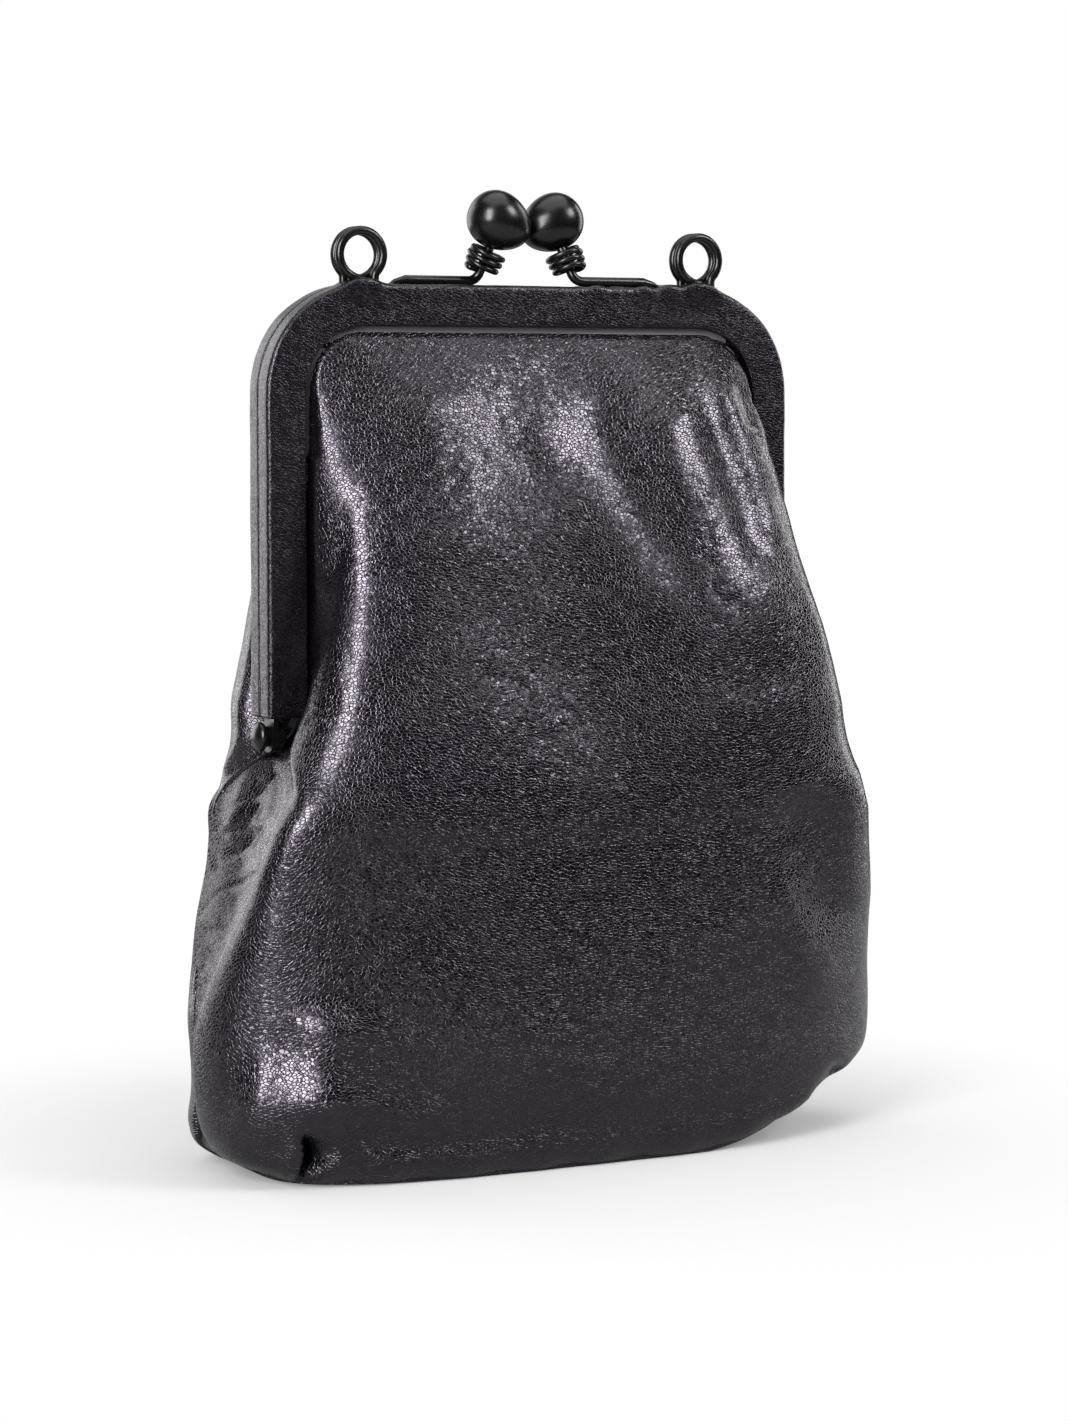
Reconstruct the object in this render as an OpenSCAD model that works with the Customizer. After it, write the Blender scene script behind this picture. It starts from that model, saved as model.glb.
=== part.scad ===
// Kiss lock frame purse: a soft leather bag in a hinged, leather covered frame.
// Millimetres, +Z up, front towards -Y, origin on the ground under the middle of the bag.

/* [Bag] */
// Height of the frame's top rail above the ground
bag_height = 171.3; // [150:0.1:210]
// Width of the bag at its fullest
belly_width = 146; // [134:1:180]
// Depth of the bag at its fullest, front to back
belly_depth = 62; // [50:1:80]
// Width of the bag where it meets the base
base_width = 123; // [100:1:132]
// Depth of the bag where it meets the base
base_depth = 56; // [44:1:62]
// Depth of the lower bag at its top edge
mouth_depth = 55; // [46:1:66]
// Width of each side gusset at its top
gusset_top = 34; // [24:1:38]
// Width of each side gusset near the ground
gusset_foot = 7.6; // [6:0.2:14]
// Thickness of the bag leather
leather_t = 1.2; // [0.8:0.1:1.6]
// Thickness of the lining cloth
lining_t = 0.5; // [0.4:0.1:0.8]
// Thickness of the stiff board over the base
board_t = 1.5; // [1:0.1:2.5]

/* [Frame] */
// Outer width of the frame over its leather
frame_width = 115.6; // [96:0.1:128]
// Length of a frame leg, from the rail's top to the leg's foot
leg_length = 83.3; // [70:0.1:95]
// Width of the covered rail and legs, seen from the front
rail_width = 8.1; // [7.4:0.1:10]
// Depth of one covered half, front to back
half_depth = 4.6; // [4.4:0.1:6]
// Gap between the two halves when they are shut
closing_gap = 0.2; // [0.1:0.05:0.6]
// Outer radius of the frame's top corners
corner_radius = 21; // [14:0.5:26]
// Thickness of the leather that covers the frame
cover_t = 0.95; // [0.7:0.05:1.1]
// Wall of the steel channel inside the cover
channel_wall = 0.5; // [0.4:0.05:0.6]
// Diameter of the paper cord that jams the bag's edge in the channel
cord_d = 0.8; // [0.6:0.05:0.9]

/* [Hinge] */
// How far each half swings open
open_angle = 35; // [20:1:38]
// Distance of the hinge line below the legs' feet
hinge_drop = 3.7; // [3.4:0.1:5]
// Diameter of the rivet's round head
rivet_head_d = 5.6; // [4.6:0.1:6.6]
// Height of the rivet's domed head
rivet_head_h = 1.9; // [1.2:0.1:2.4]
// Diameter of the rivet's shank
rivet_shank_d = 2.4; // [1.8:0.1:3]
// Thickness of each hinge lug
lug_t = 1.1; // [0.8:0.1:1.2]
// Radial clearance of the shank in the lugs
running_clearance = 0.05; // [0.02:0.01:0.1]

/* [Clasp] */
// Length of each egg shaped ball
ball_length = 13.4; // [10:0.1:17]
// Width of each ball
ball_width = 11.3; // [8:0.1:13]
// How much narrower one end of the ball is than the other
ball_taper = 0.14; // [0:0.01:0.25]
// Slope of the ball's long axis below level, towards its narrow end
ball_tilt = 27; // [0:1:45]
// Side clearance between the two balls as they pass
ball_clearance = 0.3; // [0.2:0.05:1]
// How far each ball's middle reaches over the other half, across the shut line
ball_cross = 1.6; // [0.5:0.1:3]
// Height of the balls' middles above the rail
ball_rise = 12.5; // [11.5:0.1:16]
// Diameter of the rod that the clasp arms are bent from
rod_d = 1.9; // [1.6:0.1:2.4]
// Distance from the frame's middle to the tail of an arm
arm_reach = 28.5; // [24:0.1:32]
// Bend radius between an arm's bar and its neck
neck_bend_r = 2.2; // [2:0.1:3]
// Diameter of the wire wound round each neck
collar_wire_d = 0.95; // [0.8:0.05:1.2]
// Radius of the winding, to the middle of its wire
collar_r = 3.35; // [3.2:0.05:4]
// Turns of wire round each neck
collar_turns = 3; // [2:1:3]
// Gap between one turn of the winding and the next
collar_gap = 0.45; // [0.42:0.01:0.6]

/* [Strap rings] */
// Diameter of the strap rings' wire
ring_wire_d = 1.75; // [1.4:0.05:1.9]
// Radius of a strap ring, to the middle of its wire
ring_r = 4.6; // [4:0.1:6]
// Gap between the two turns of a strap ring
ring_gap = 0.45; // [0.42:0.01:0.6]
// Distance of each strap ring from the frame's middle
ring_offset = 37.5; // [33:0.5:42]

/* [Hidden] */

bag_leather = "#33303a";
frame_leather = "#3d3945";
lining_cloth = "#4a474f";
board_fibre = "#7a6a58";
black_metal = "#17171b";
bare_steel = "#8c8f94";
paper = "#c8bda6";

$fn = 48;
eps = 0.01;
// Clearance between pieces that lie against each other in one body
lay_gap = 0.15;
// Clearance between the parts that swing and the parts that stay
swing_gap = 0.5;
// Clearance between the upper panels and the lining that they slide in
slide_gap = 1;
// How far the loose lining stays inside the leather
lining_slack = 1.4;
// Clearance round a piece that is pushed into a slot or hole
slot_gap = 0.05;

// The frame's own places
foot_z = bag_height - leg_length;
hinge_z = foot_z - hinge_drop;
frame_half = frame_width / 2;
corner_x = frame_half - corner_radius;
corner_z = bag_height - corner_radius;
half_front = closing_gap / 2 + half_depth;
half_middle = closing_gap / 2 + half_depth / 2;
window_half = frame_half - rail_width;
window_top = bag_height - rail_width;
rim_round = 0.9;
foot_cap = 0.9;
lip_round = 0.4;

// The steel channel, measured inwards from the rail's outer edge and forwards from the shut line
channel_outer = cover_t + slot_gap;
channel_inner = rail_width - 0.8;
channel_near = closing_gap / 2 + cover_t + slot_gap;
channel_far = half_front - cover_t - slot_gap;
cavity_near = channel_near + channel_wall;
cavity_far = channel_far - channel_wall;

// The bag's edge in the channel: a thinned tongue in front, the paper cord behind it
tongue_t = cavity_far - cavity_near - cord_d - 2 * slot_gap;
tongue_y = cavity_far - slot_gap - tongue_t / 2;
tongue_depth = 4;
cord_y = cavity_near + cord_d / 2 + slot_gap / 2;
cord_inset = rail_width - 2.9;

// Hinge layers, from the outside of a leg inwards
lug_clear = 0.1;
front_lug_x = frame_half - channel_outer - channel_wall - slot_gap;
rear_lug_x = front_lug_x - lug_t - lug_clear;
lug_r = hinge_drop - 0.6;
lug_tab_length = 8;
tab_root = 0.4;
rivet_tail_d = rivet_shank_d + 1.6;
rivet_tail_h = 1.1;

// Smooth curve through a table's rows, read in column c at height t
function span(t, table, i = 0) =
  i >= len(table) - 2 || t <= table[i + 1][0] ? i : span(t, table, i + 1);
function slope(table, i, c) =
  let (a = max(i - 1, 0), b = min(i + 1, len(table) - 1))
  (table[b][c] - table[a][c]) / (table[b][0] - table[a][0]);
function curve(t, table, c) =
  let (i = span(t, table), h = table[i + 1][0] - table[i][0], u = (t - table[i][0]) / h)
  table[i][c] * (1 + 2 * u) * pow(1 - u, 2) + slope(table, i, c) * h * u * pow(1 - u, 2)
  + table[i + 1][c] * u * u * (3 - 2 * u) + slope(table, i + 1, c) * h * u * u * (u - 1);

// The lower bag: height, half width, half depth, half gap at the side and squareness of the corners
lap_z = hinge_z + 2;
lap_half = window_half + leather_t + lining_t + lay_gap + swing_gap;
hip_half = frame_half - 0.3;
bag_table = [
  [0, base_width / 2, base_depth / 2, gusset_foot / 2, 4.5],
  [0.06 * lap_z, base_width / 2 + 0.42 * (belly_width - base_width) / 2,
   base_depth / 2 + 0.5 * (belly_depth - base_depth) / 2, gusset_foot / 2, 4.2],
  [0.16 * lap_z, base_width / 2 + 0.86 * (belly_width - base_width) / 2,
   base_depth / 2 + 0.85 * (belly_depth - base_depth) / 2, gusset_foot / 2, 3.8],
  [0.34 * lap_z, belly_width / 2, belly_depth / 2, 0.12 * gusset_top, 3.3],
  [0.50 * lap_z, belly_width / 2 - 0.12 * (belly_width / 2 - hip_half), belly_depth / 2,
   0.24 * gusset_top, 3],
  [0.66 * lap_z, belly_width / 2 - 0.4 * (belly_width / 2 - hip_half),
   (2 * belly_depth + mouth_depth) / 6, 0.38 * gusset_top, 2.8],
  [0.82 * lap_z, belly_width / 2 - 0.78 * (belly_width / 2 - hip_half),
   (belly_depth + 2 * mouth_depth) / 6, 0.48 * gusset_top, 2.6],
  [0.92 * lap_z, hip_half, mouth_depth / 2 + 0.5, 0.5 * gusset_top, 2.6],
  [lap_z, lap_half, mouth_depth / 2, 0.5 * gusset_top, 2.8]];

// Point of the front panel's middle surface: s runs from -1 at the left edge to 1 at the right
function panel_point(s, z) =
  let (a = 90 * s, n = curve(z, bag_table, 4), side = curve(z, bag_table, 3))
  [sign(s) * curve(z, bag_table, 1) * pow(abs(sin(a)), 2 / n),
   -side - (curve(z, bag_table, 2) - side) * pow(abs(cos(a)), 2 / n), z];

// Point of the right gusset's middle surface: s runs from -1 at the front edge to 1 at the back
gusset_fold = 0.3;
notch_r = hinge_drop + 4.1;
edge_seam = leather_t / 2 + lay_gap;
function gusset_fold_depth(z) =
  max(0.2, min(gusset_fold * curve(z, bag_table, 3), curve(z, bag_table, 1) - lap_half + 0.2));
function gusset_top_z(y) = min(lap_z, hinge_z - notch_r + notch_r * pow(y / notch_r, 2));
function gusset_point(s, level, floor_z) =
  let (rough_y = s * (curve(floor_z + level * (lap_z - floor_z), bag_table, 3) - edge_seam),
       z = floor_z + level * (gusset_top_z(rough_y) - floor_z))
  [curve(z, bag_table, 1) - gusset_fold_depth(z) * (1 - s * s),
   s * (curve(z, bag_table, 3) - edge_seam), z];

// Closed loop round the lower bag's middle surface, and the same loop moved inwards
panel_cols = 16;
gusset_cols = 6;
panel_rows = 9;
function bag_loop(level, floor_z) =
  let (z = floor_z + level * (lap_z - floor_z),
       front = [for (i = [0:panel_cols]) panel_point(2 * i / panel_cols - 1, z)],
       right = [for (i = [1:gusset_cols - 1]) gusset_point(2 * i / gusset_cols - 1, level, floor_z)],
       half = concat(front, right))
  concat(half, [for (p = half) [-p[0], -p[1], p[2]]]);
function moved_in(loop, inset) =
  let (n = len(loop))
  [for (i = [0:n - 1])
    let (d = loop[(i + 1) % n] - loop[(i + n - 1) % n], u = unit([d[1], -d[0], 0]))
    loop[i] - inset * u];

// The base, and the levels of what stands on it
base_t = leather_t;
panel_foot_z = base_t + leather_t / 2;
board_z = base_t + lay_gap;
lining_floor_z = board_z + board_t + lay_gap;
lining_inset = leather_t / 2 + lining_slack;

// The upper front panel: it leaves the channel at the window's edge and swells forwards,
// and its lower part lies on a cylinder round the hinge line, inside the lower bag
mouth_inset = leather_t / 2 + lay_gap;
exit_half = window_half - mouth_inset;
exit_top = window_top - mouth_inset;
skirt_z = hinge_z - 2.3;
skirt_r = mouth_depth / 2 - lining_inset - lining_t - leather_t / 2 - slide_gap;
turn_angle = open_angle + 8;
turn_z = hinge_z + skirt_r * sin(turn_angle);
upper_fullness = 1.45;
upper_squareness = 3.2;
function exit_width(z) =
  z < corner_z ? exit_half
  : corner_x + sqrt(max(0, pow(exit_half - corner_x, 2) - pow(z - corner_z, 2)));
function middle_swell(z) =
  z < turn_z ? sqrt(pow(skirt_r, 2) - pow(z - hinge_z, 2))
  : let (up = min(1, (z - turn_z) / (exit_top - turn_z)))
    tongue_y + (skirt_r * cos(turn_angle) - tongue_y)
    * pow(max(0, 1 - pow(up, upper_fullness)), 1 / upper_fullness);
function swell(x, z) =
  let (q = min(1, abs(x) / exit_width(z)))
  tongue_y + (middle_swell(z) - tongue_y) * pow(1 - pow(q, upper_squareness), 1 / upper_squareness);

// Path round the window, left foot to right foot, as x, z and whether the channel holds the edge
leg_steps = 6;
leg_from = foot_z + foot_cap + 3 * lay_gap;
corner_steps = 5;
rail_steps = 8;
function window_side(inset) =
  let (half = window_half - inset, r = half - corner_x)
  concat([for (i = [0:leg_steps]) [half, leg_from + i / leg_steps * (corner_z - leg_from)]],
         [for (i = [1:corner_steps])
           let (a = 90 * i / corner_steps) [corner_x + r * cos(a), corner_z + r * sin(a)]],
         [for (i = [1:rail_steps / 2]) [corner_x * (1 - 2 * i / rail_steps), corner_z + r]]);
function window_path(inset, foot_x, foot_height) =
  let (side = concat([[foot_x, foot_height], [foot_x, foot_z + foot_cap + lay_gap]], window_side(inset)),
       n = len(side))
  concat([for (p = side) [-p[0], p[1]]], [for (i = [n - 2:-1:0]) side[i]]);
skirt_side_z = hinge_z + 0.2;
tongue_path = window_path(-tongue_depth, exit_half + 0.5, skirt_side_z + 0.1);
exit_path = window_path(mouth_inset, exit_half, skirt_side_z);
upper_rows = [0, 0.02, 0.06, 0.12, 0.2, 0.32, 0.46, 0.6, 0.72, 0.8, 0.87, 0.94, 1];

function skirt_point(i) =
  let (n = len(exit_path) - 1) [(2 * i / n - 1) * (exit_half - 0.4), skirt_z];
function upper_point(i, t) =
  let (p = exit_path[i] + t * (skirt_point(i) - exit_path[i]))
  [p[0], -swell(p[0], p[1]), p[1]];
upper_grid = concat(
  [[for (p = tongue_path) [p[0], -tongue_y, p[1]]]],
  [for (t = upper_rows) [for (i = [0:len(exit_path) - 1]) upper_point(i, t)]]);
upper_half_t = concat([tongue_t / 2, tongue_t / 2, leather_t * 0.42],
                      [for (t = [2:len(upper_rows) - 1]) leather_t / 2]);

// A sheet laid on a grid of points: its two sides are the grid moved by a and by b along the
// grid's normals, where a is the larger; either may be a list with a value for each row.
// The rows before first are left out
function unit(v) = v / max(norm(v), 1e-9);
function sheet_normal(g, i, j) =
  let (r = len(g) - 1, c = len(g[0]) - 1)
  unit(cross(g[i][min(j + 1, c)] - g[i][max(j - 1, 0)], g[min(i + 1, r)][j] - g[max(i - 1, 0)][j]));
function at(v, i) = is_list(v) ? v[i] : v;
function sheet_layer(g, depth, first) =
  [for (i = [first:len(g) - 1]) for (j = [0:len(g[0]) - 1])
    g[i][j] + at(depth, i) * sheet_normal(g, i, j)];
function strip(a, b) = [for (k = [0:len(a) - 2]) each [[a[k], b[k], b[k + 1]], [a[k], b[k + 1], a[k + 1]]]];
function range(n) = [for (k = [0:n - 1]) k];

module sheet(g, a, b, first = 0) {
  rows = len(g) - first;
  cols = len(g[0]);
  far = rows * cols;
  function row(i) = [for (j = range(cols)) i * cols + j];
  function col(j) = [for (i = range(rows)) i * cols + j];
  function lift(v) = [for (k = v) k + far];
  front = [for (i = [0:rows - 2]) each strip(row(i), row(i + 1))];
  back = [for (i = [0:rows - 2]) each strip(lift(row(i + 1)), lift(row(i)))];
  rim = concat(strip(lift(row(0)), row(0)), strip(row(rows - 1), lift(row(rows - 1))),
               strip(col(0), lift(col(0))), strip(lift(col(cols - 1)), col(cols - 1)));
  polyhedron(concat(sheet_layer(g, a, first), sheet_layer(g, b, first)), concat(front, back, rim));
}

// Tube of round wire along a path; ref is never along the path
module wire(path, d, ref, sides = 6) {
  n = len(path);
  function along(i) = unit(path[min(i + 1, n - 1)] - path[max(i - 1, 0)]);
  pts = [for (i = range(n))
    let (t = along(i), u = unit(cross(ref, t)), v = cross(t, u))
    for (k = range(sides)) path[i] + d / 2 * (cos(360 * k / sides) * u + sin(360 * k / sides) * v)];
  function ring(i) = [for (k = [0:sides]) i * sides + k % sides];
  walls = [for (i = [0:n - 2]) each strip(ring(i), ring(i + 1))];
  ends = [for (k = [1:sides - 2]) each [[0, k, k + 1],
    [(n - 1) * sides, (n - 1) * sides + k + 1, (n - 1) * sides + k]]];
  polyhedron(pts, concat(walls, ends));
}
// Least gap of a wire to itself: the closest two path points that lie over reach apart along it
function wire_gap(path, d, reach) =
  min([for (i = [0:len(path) - 1]) for (j = [i + reach:1:len(path) - 1]) norm(path[i] - path[j])]) - d;

// Carries a profile along a frame half: x of the profile is the distance inwards from the
// rail's outer edge, y the distance forwards from the shut line
module along_leg(from_z) {
  translate([0, 0, from_z]) linear_extrude(corner_z - from_z)
    translate([frame_half, 0]) rotate(180) children();
}
module round_corner() {
  translate([corner_x, 0, corner_z]) rotate([90, 0, 0]) rotate_extrude(angle = 90)
    translate([corner_radius, 0]) mirror([1, 0]) children();
}
module along_rail() {
  translate([-corner_x, 0, bag_height]) mirror([0, 1, 0]) rotate([0, 90, 0])
    linear_extrude(2 * corner_x) children();
}
module along_frame(from_z) {
  along_rail() children();
  for (side = [0, 1]) mirror([side, 0, 0]) {
    along_leg(from_z) children();
    round_corner() children();
  }
}

module cover_outline() {
  near = closing_gap / 2;
  inner = rail_width;
  polygon([[0, near + lip_round], [lip_round, near], [inner - lip_round, near],
           [inner, near + lip_round], [inner, half_front - lip_round],
           [inner - lip_round, half_front], [rim_round, half_front], [0, half_front - rim_round]]);
  translate([rim_round, half_front - rim_round]) circle(rim_round);
  for (p = [[lip_round, near + lip_round], [inner - lip_round, near + lip_round],
            [inner - lip_round, half_front - lip_round]])
    translate(p) circle(lip_round);
}
module cover_profile() {
  difference() {
    cover_outline();
    translate([cover_t, closing_gap / 2 + cover_t]) square([rail_width, half_depth - 2 * cover_t]);
  }
}
module channel_profile() {
  difference() {
    translate([channel_outer, channel_near])
      square([channel_inner - channel_outer, channel_far - channel_near]);
    translate([channel_outer + channel_wall, cavity_near])
      square([channel_inner, cavity_far - cavity_near]);
  }
}

// Where a lug's tab goes up into a leg's channel, grown all round by clear
module lug_tab(lug_x, clear = 0) {
  translate([lug_x - lug_t - clear, -cavity_far + slot_gap - clear, foot_z - tab_root])
    cube([lug_t + 2 * clear, cavity_far - cavity_near - 2 * slot_gap + 2 * clear,
          tab_root + lug_tab_length]);
}
// Height of the rail's or corner's top surface over x, lowered by depth
function rail_top(x, depth = 0) =
  abs(x) <= corner_x ? bag_height - depth
  : corner_z + sqrt(pow(corner_radius - depth, 2) - pow(abs(x) - corner_x, 2));

module frame_cover(lug_x) {
  color(frame_leather) {
    along_frame(foot_z + foot_cap - eps) cover_profile();
    for (side = [0, 1]) mirror([side, 0, 0]) difference() {
      translate([0, 0, foot_z]) linear_extrude(foot_cap)
        translate([frame_half, 0]) rotate(180) cover_outline();
      lug_tab(lug_x, slot_gap);
    }
  }
}
module channel() {
  color(bare_steel) along_frame(foot_z + foot_cap + slot_gap) channel_profile();
}
module channel_cord() {
  color(paper) along_frame(foot_z + lug_tab_length) translate([cord_inset, cord_y]) circle(d = cord_d);
}
module hinge_lugs(lug_x) {
  tab_far = cavity_far - slot_gap;
  tab_near = cavity_near + slot_gap;
  color(black_metal) for (side = [0, 1]) mirror([side, 0, 0]) {
    lug_tab(lug_x);
    difference() {
      translate([lug_x - lug_t, 0, hinge_z]) rotate([90, 0, 90]) linear_extrude(lug_t) union() {
        circle(lug_r);
        polygon([[-tab_far, hinge_drop - slot_gap], [-tab_near, hinge_drop - slot_gap],
                 [-0.3, lug_r - 0.02], [-lug_r, 0]]);
      }
      translate([lug_x - lug_t - 1, 0, hinge_z]) rotate([0, 90, 0])
        cylinder(d = rivet_shank_d + 2 * running_clearance, h = lug_t + 2);
    }
  }
}

// The clasp of the front half, on the right; the rear one is this one turned half round.
// The arm lies in a plane that leans back about the bar by lean_y, so that the ball's middle
// comes over the other half
bar_y = -half_middle;
bar_z = bag_height + rod_d / 2 + slot_gap;
ball_z = bag_height + ball_rise;
lean_y = atan2(half_middle + ball_cross, ball_z - bar_z);
neck_lean = 15;
bend_turn = 90 - neck_lean;
neck_height = norm([half_middle + ball_cross, ball_z - bar_z]);
neck_top = neck_height - neck_bend_r * (1 - cos(bend_turn));
neck_length = neck_top / cos(neck_lean);

// Egg outline: distance along the long axis, positive at the narrow end, and radius
egg_steps = 18;
function egg_point(a) =
  [-ball_length / 2 * cos(a), max(0, ball_width / 2 * sin(a) * (1 + ball_taper * cos(a)))];
egg_outline = [for (i = [0:egg_steps]) egg_point(180 * i / egg_steps)];
egg_reach = max([for (p = egg_outline) p[0] * cos(ball_tilt) + p[1] * sin(ball_tilt)]);
ball_x = egg_reach + ball_clearance / 2;
bar_end_x = ball_x + neck_top * tan(neck_lean) + neck_bend_r * sin(bend_turn);
neck_d = rod_d - 0.1;
neck_sink = 0.2;
peg_d = 1.2;
peg_places = [bar_end_x + 1.4, arm_reach - 3.4];
ball_grip = 3;

// Everything on the neck is drawn from the ball's middle, with the neck going down along -Z
module at_ball() {
  translate([0, bar_y, bar_z]) rotate([-lean_y, 0, 0]) translate([ball_x, 0, neck_height])
    rotate([0, -neck_lean, 0]) children();
}
module arm_pegs(clear = 0) {
  for (x = peg_places)
    translate([x, bar_y, rail_top(x, channel_outer) + slot_gap - clear])
      cylinder(d = peg_d + 2 * clear, h = bar_z - rail_top(x, channel_outer) - slot_gap + clear);
}
module clasp_arm() {
  color(black_metal) {
    arm_pegs();
    translate([0, bar_y, bar_z]) rotate([-lean_y, 0, 0]) {
      difference() {
        translate([bar_end_x, 0, 0]) rotate([0, 90, 0])
          cylinder(d = rod_d, h = arm_reach - bar_end_x);
        translate([arm_reach, 0, -rod_d / 4]) rotate([0, -50, 0])
          translate([0, -rod_d, 0]) cube([3 * rod_d, 2 * rod_d, 3 * rod_d]);
      }
      translate([bar_end_x, 0, neck_bend_r]) rotate([90, 0, 0]) rotate([0, 0, 270 - bend_turn])
        rotate_extrude(angle = bend_turn) translate([neck_bend_r, 0]) circle(d = rod_d);
    }
    at_ball() translate([0, 0, -neck_length - neck_sink])
      cylinder(d = neck_d, h = neck_length + neck_sink - ball_width / 2 + ball_grip);
  }
}
module clasp_ball() {
  color(black_metal) difference() {
    translate([ball_x, ball_cross, ball_z]) rotate([0, -90 - ball_tilt, 0]) rotate_extrude()
      polygon([for (p = egg_outline) [p[1], p[0]]]);
    at_ball() translate([0, 0, -ball_width])
      cylinder(d = neck_d + 2 * slot_gap, h = ball_width / 2 + ball_grip + slot_gap);
  }
}

// A wound wire's straight end: from a point at radius r and angle a, where the wire runs round
// the axis, it turns with radius bend to point at the axis, then runs straight to radius stop.
// way is 1 where the end follows the turns and -1 where it comes before them
end_steps = 4;
function spoke_end(r, a, z, bend, stop, way) =
  let (m = r - bend, run = sqrt(m * m - bend * bend), tip = atan2(bend, run),
       turn = 90 + tip, c = [m * cos(a), m * sin(a)])
  concat([for (i = [1:end_steps])
           let (b = a + way * turn * i / end_steps)
           [c[0] + bend * cos(b), c[1] + bend * sin(b), z]],
         [[stop * cos(a + way * tip), stop * sin(a + way * tip), z]]);
function turned(path) = [for (i = [len(path) - 1:-1:0]) path[i]];

// The wire wound round the neck, from the ball downwards
turn_rings = 24;
collar_foot_r = neck_d / 2 + 1.05 * collar_wire_d + 0.7;
collar_pitch = collar_wire_d + collar_gap;
collar_top = -ball_width / 2 - collar_wire_d / 2;
function collar_round(t) =
  let (u = t / collar_turns, r = collar_foot_r + (collar_r - collar_foot_r) * (1 - u * u))
  [r * cos(360 * t), r * sin(360 * t), collar_top - collar_pitch * t];
collar_path = concat(
  turned(spoke_end(collar_r, 0, collar_top, 0.9, neck_d / 2 + slot_gap / 2, -1)),
  [for (i = [0:collar_turns * turn_rings]) collar_round(i / turn_rings)],
  spoke_end(collar_foot_r, 360 * collar_turns, collar_top - collar_pitch * collar_turns,
            0.55, neck_d / 2 + slot_gap / 2, 1));
module clasp_collar() {
  color(black_metal) at_ball() wire(collar_path, collar_wire_d, [0, 0, 1]);
}

// A strap ring's wire: up out of the rail, round, across to its second plane, round again
// and down into the rail. Angles go anticlockwise, seen from the front
ring_pitch = ring_wire_d + ring_gap;
ring_z = bag_height + 0.1 + ring_wire_d / 2 + ring_r;
join_angle = 45;
leg_bend_r = 1.5;
leg_x = ring_r * cos(join_angle) - leg_bend_r * (1 - cos(join_angle));
leg_top = -(ring_r + leg_bend_r) * sin(join_angle);
bend_steps = 3;
function ring_shift(a) =
  let (u = min(1, max(0, (a - 240) / 60))) ring_pitch * (u * u * (3 - 2 * u) - 0.5);
function leg_foot(x) = rail_top(max(0, abs(x) - ring_wire_d / 2), channel_outer) + slot_gap / 2;
function ring_leg(x, side) =
  concat([[side * leg_x, side * -ring_pitch / 2, leg_foot(x + side * leg_x) - ring_z]],
    [for (i = [0:bend_steps - 1])
      let (b = join_angle * i / bend_steps)
      [side * (leg_x + leg_bend_r * (1 - cos(b))), side * -ring_pitch / 2,
       leg_top + leg_bend_r * sin(b)]]);
function ring_path(x) = concat(ring_leg(x, 1),
  [for (a = [-join_angle:360 / turn_rings:540 + join_angle])
    [ring_r * cos(a), ring_shift(a), ring_r * sin(a)]],
  turned(ring_leg(x, -1)));
module strap_ring(x) {
  color(black_metal) translate([x, bar_y, ring_z]) wire(ring_path(x), ring_wire_d, [0, 1, 0]);
}
module ring_leg_holes() {
  for (x = [-ring_offset, ring_offset]) for (side = [-1, 1])
    translate([x + side * leg_x, bar_y - side * ring_pitch / 2, leg_foot(x + side * leg_x) - slot_gap])
      cylinder(d = ring_wire_d + 2 * slot_gap, h = bag_height);
}

// The pieces of one half that the two halves share
module upper_panel() {
  color(bag_leather) sheet(upper_grid, upper_half_t, -upper_half_t);
}
module upper_lining() {
  near = leather_t / 2 + lining_slack;
  color(lining_cloth) sheet(upper_grid, near + lining_t, near, 3);
}

// The lower bag
module lower_panel() {
  grid = [for (i = [panel_rows:-1:0])
    let (z = panel_foot_z + i / panel_rows * (lap_z - panel_foot_z))
    [for (j = [0:panel_cols]) panel_point(2 * j / panel_cols - 1, z)]];
  color(bag_leather) sheet(grid, leather_t / 2, -leather_t / 2);
}
module gusset() {
  grid = [for (i = [panel_rows:-1:0])
    [for (j = [0:gusset_cols]) gusset_point(2 * j / gusset_cols - 1, i / panel_rows, panel_foot_z)]];
  color(bag_leather) sheet(grid, leather_t / 2, -leather_t / 2);
}
module flat_loop(inset) {
  polygon([for (p = moved_in(bag_loop(0, panel_foot_z), inset)) [p[0], p[1]]]);
}
module base_panel() {
  color(bag_leather) linear_extrude(base_t) flat_loop(-leather_t / 2);
}
module base_board() {
  color(board_fibre) translate([0, 0, board_z]) linear_extrude(board_t) flat_loop(lining_inset);
}
// A cup between two stacks of closed loops, each stack from the floor up
module cup(outer, inner) {
  n = len(outer[0]);
  m = len(outer);
  loops = concat(outer, turned(inner));
  function ring(i) = [for (k = [0:n]) i * n + k % n];
  walls = [for (i = [0:2 * m - 2]) each strip(ring(i), ring(i + 1))];
  floors = [for (k = [0:n - 1]) each
    [[2 * m * n, k, (k + 1) % n], [2 * m * n + 1, (2 * m - 1) * n + (k + 1) % n, (2 * m - 1) * n + k]]];
  points = concat([for (l = loops) each l], [[0, 0, outer[0][0][2]], [0, 0, inner[0][0][2]]]);
  polyhedron(points, concat(walls, floors));
}
module lining() {
  outer = [for (i = [0:panel_rows]) moved_in(bag_loop(i / panel_rows, lining_floor_z), lining_inset)];
  inner = [for (i = [0:panel_rows])
    moved_in(bag_loop(i / panel_rows, lining_floor_z + (i == 0 ? lining_t : 0)),
             lining_inset + lining_t)];
  color(lining_cloth) cup(outer, inner);
}

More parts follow.
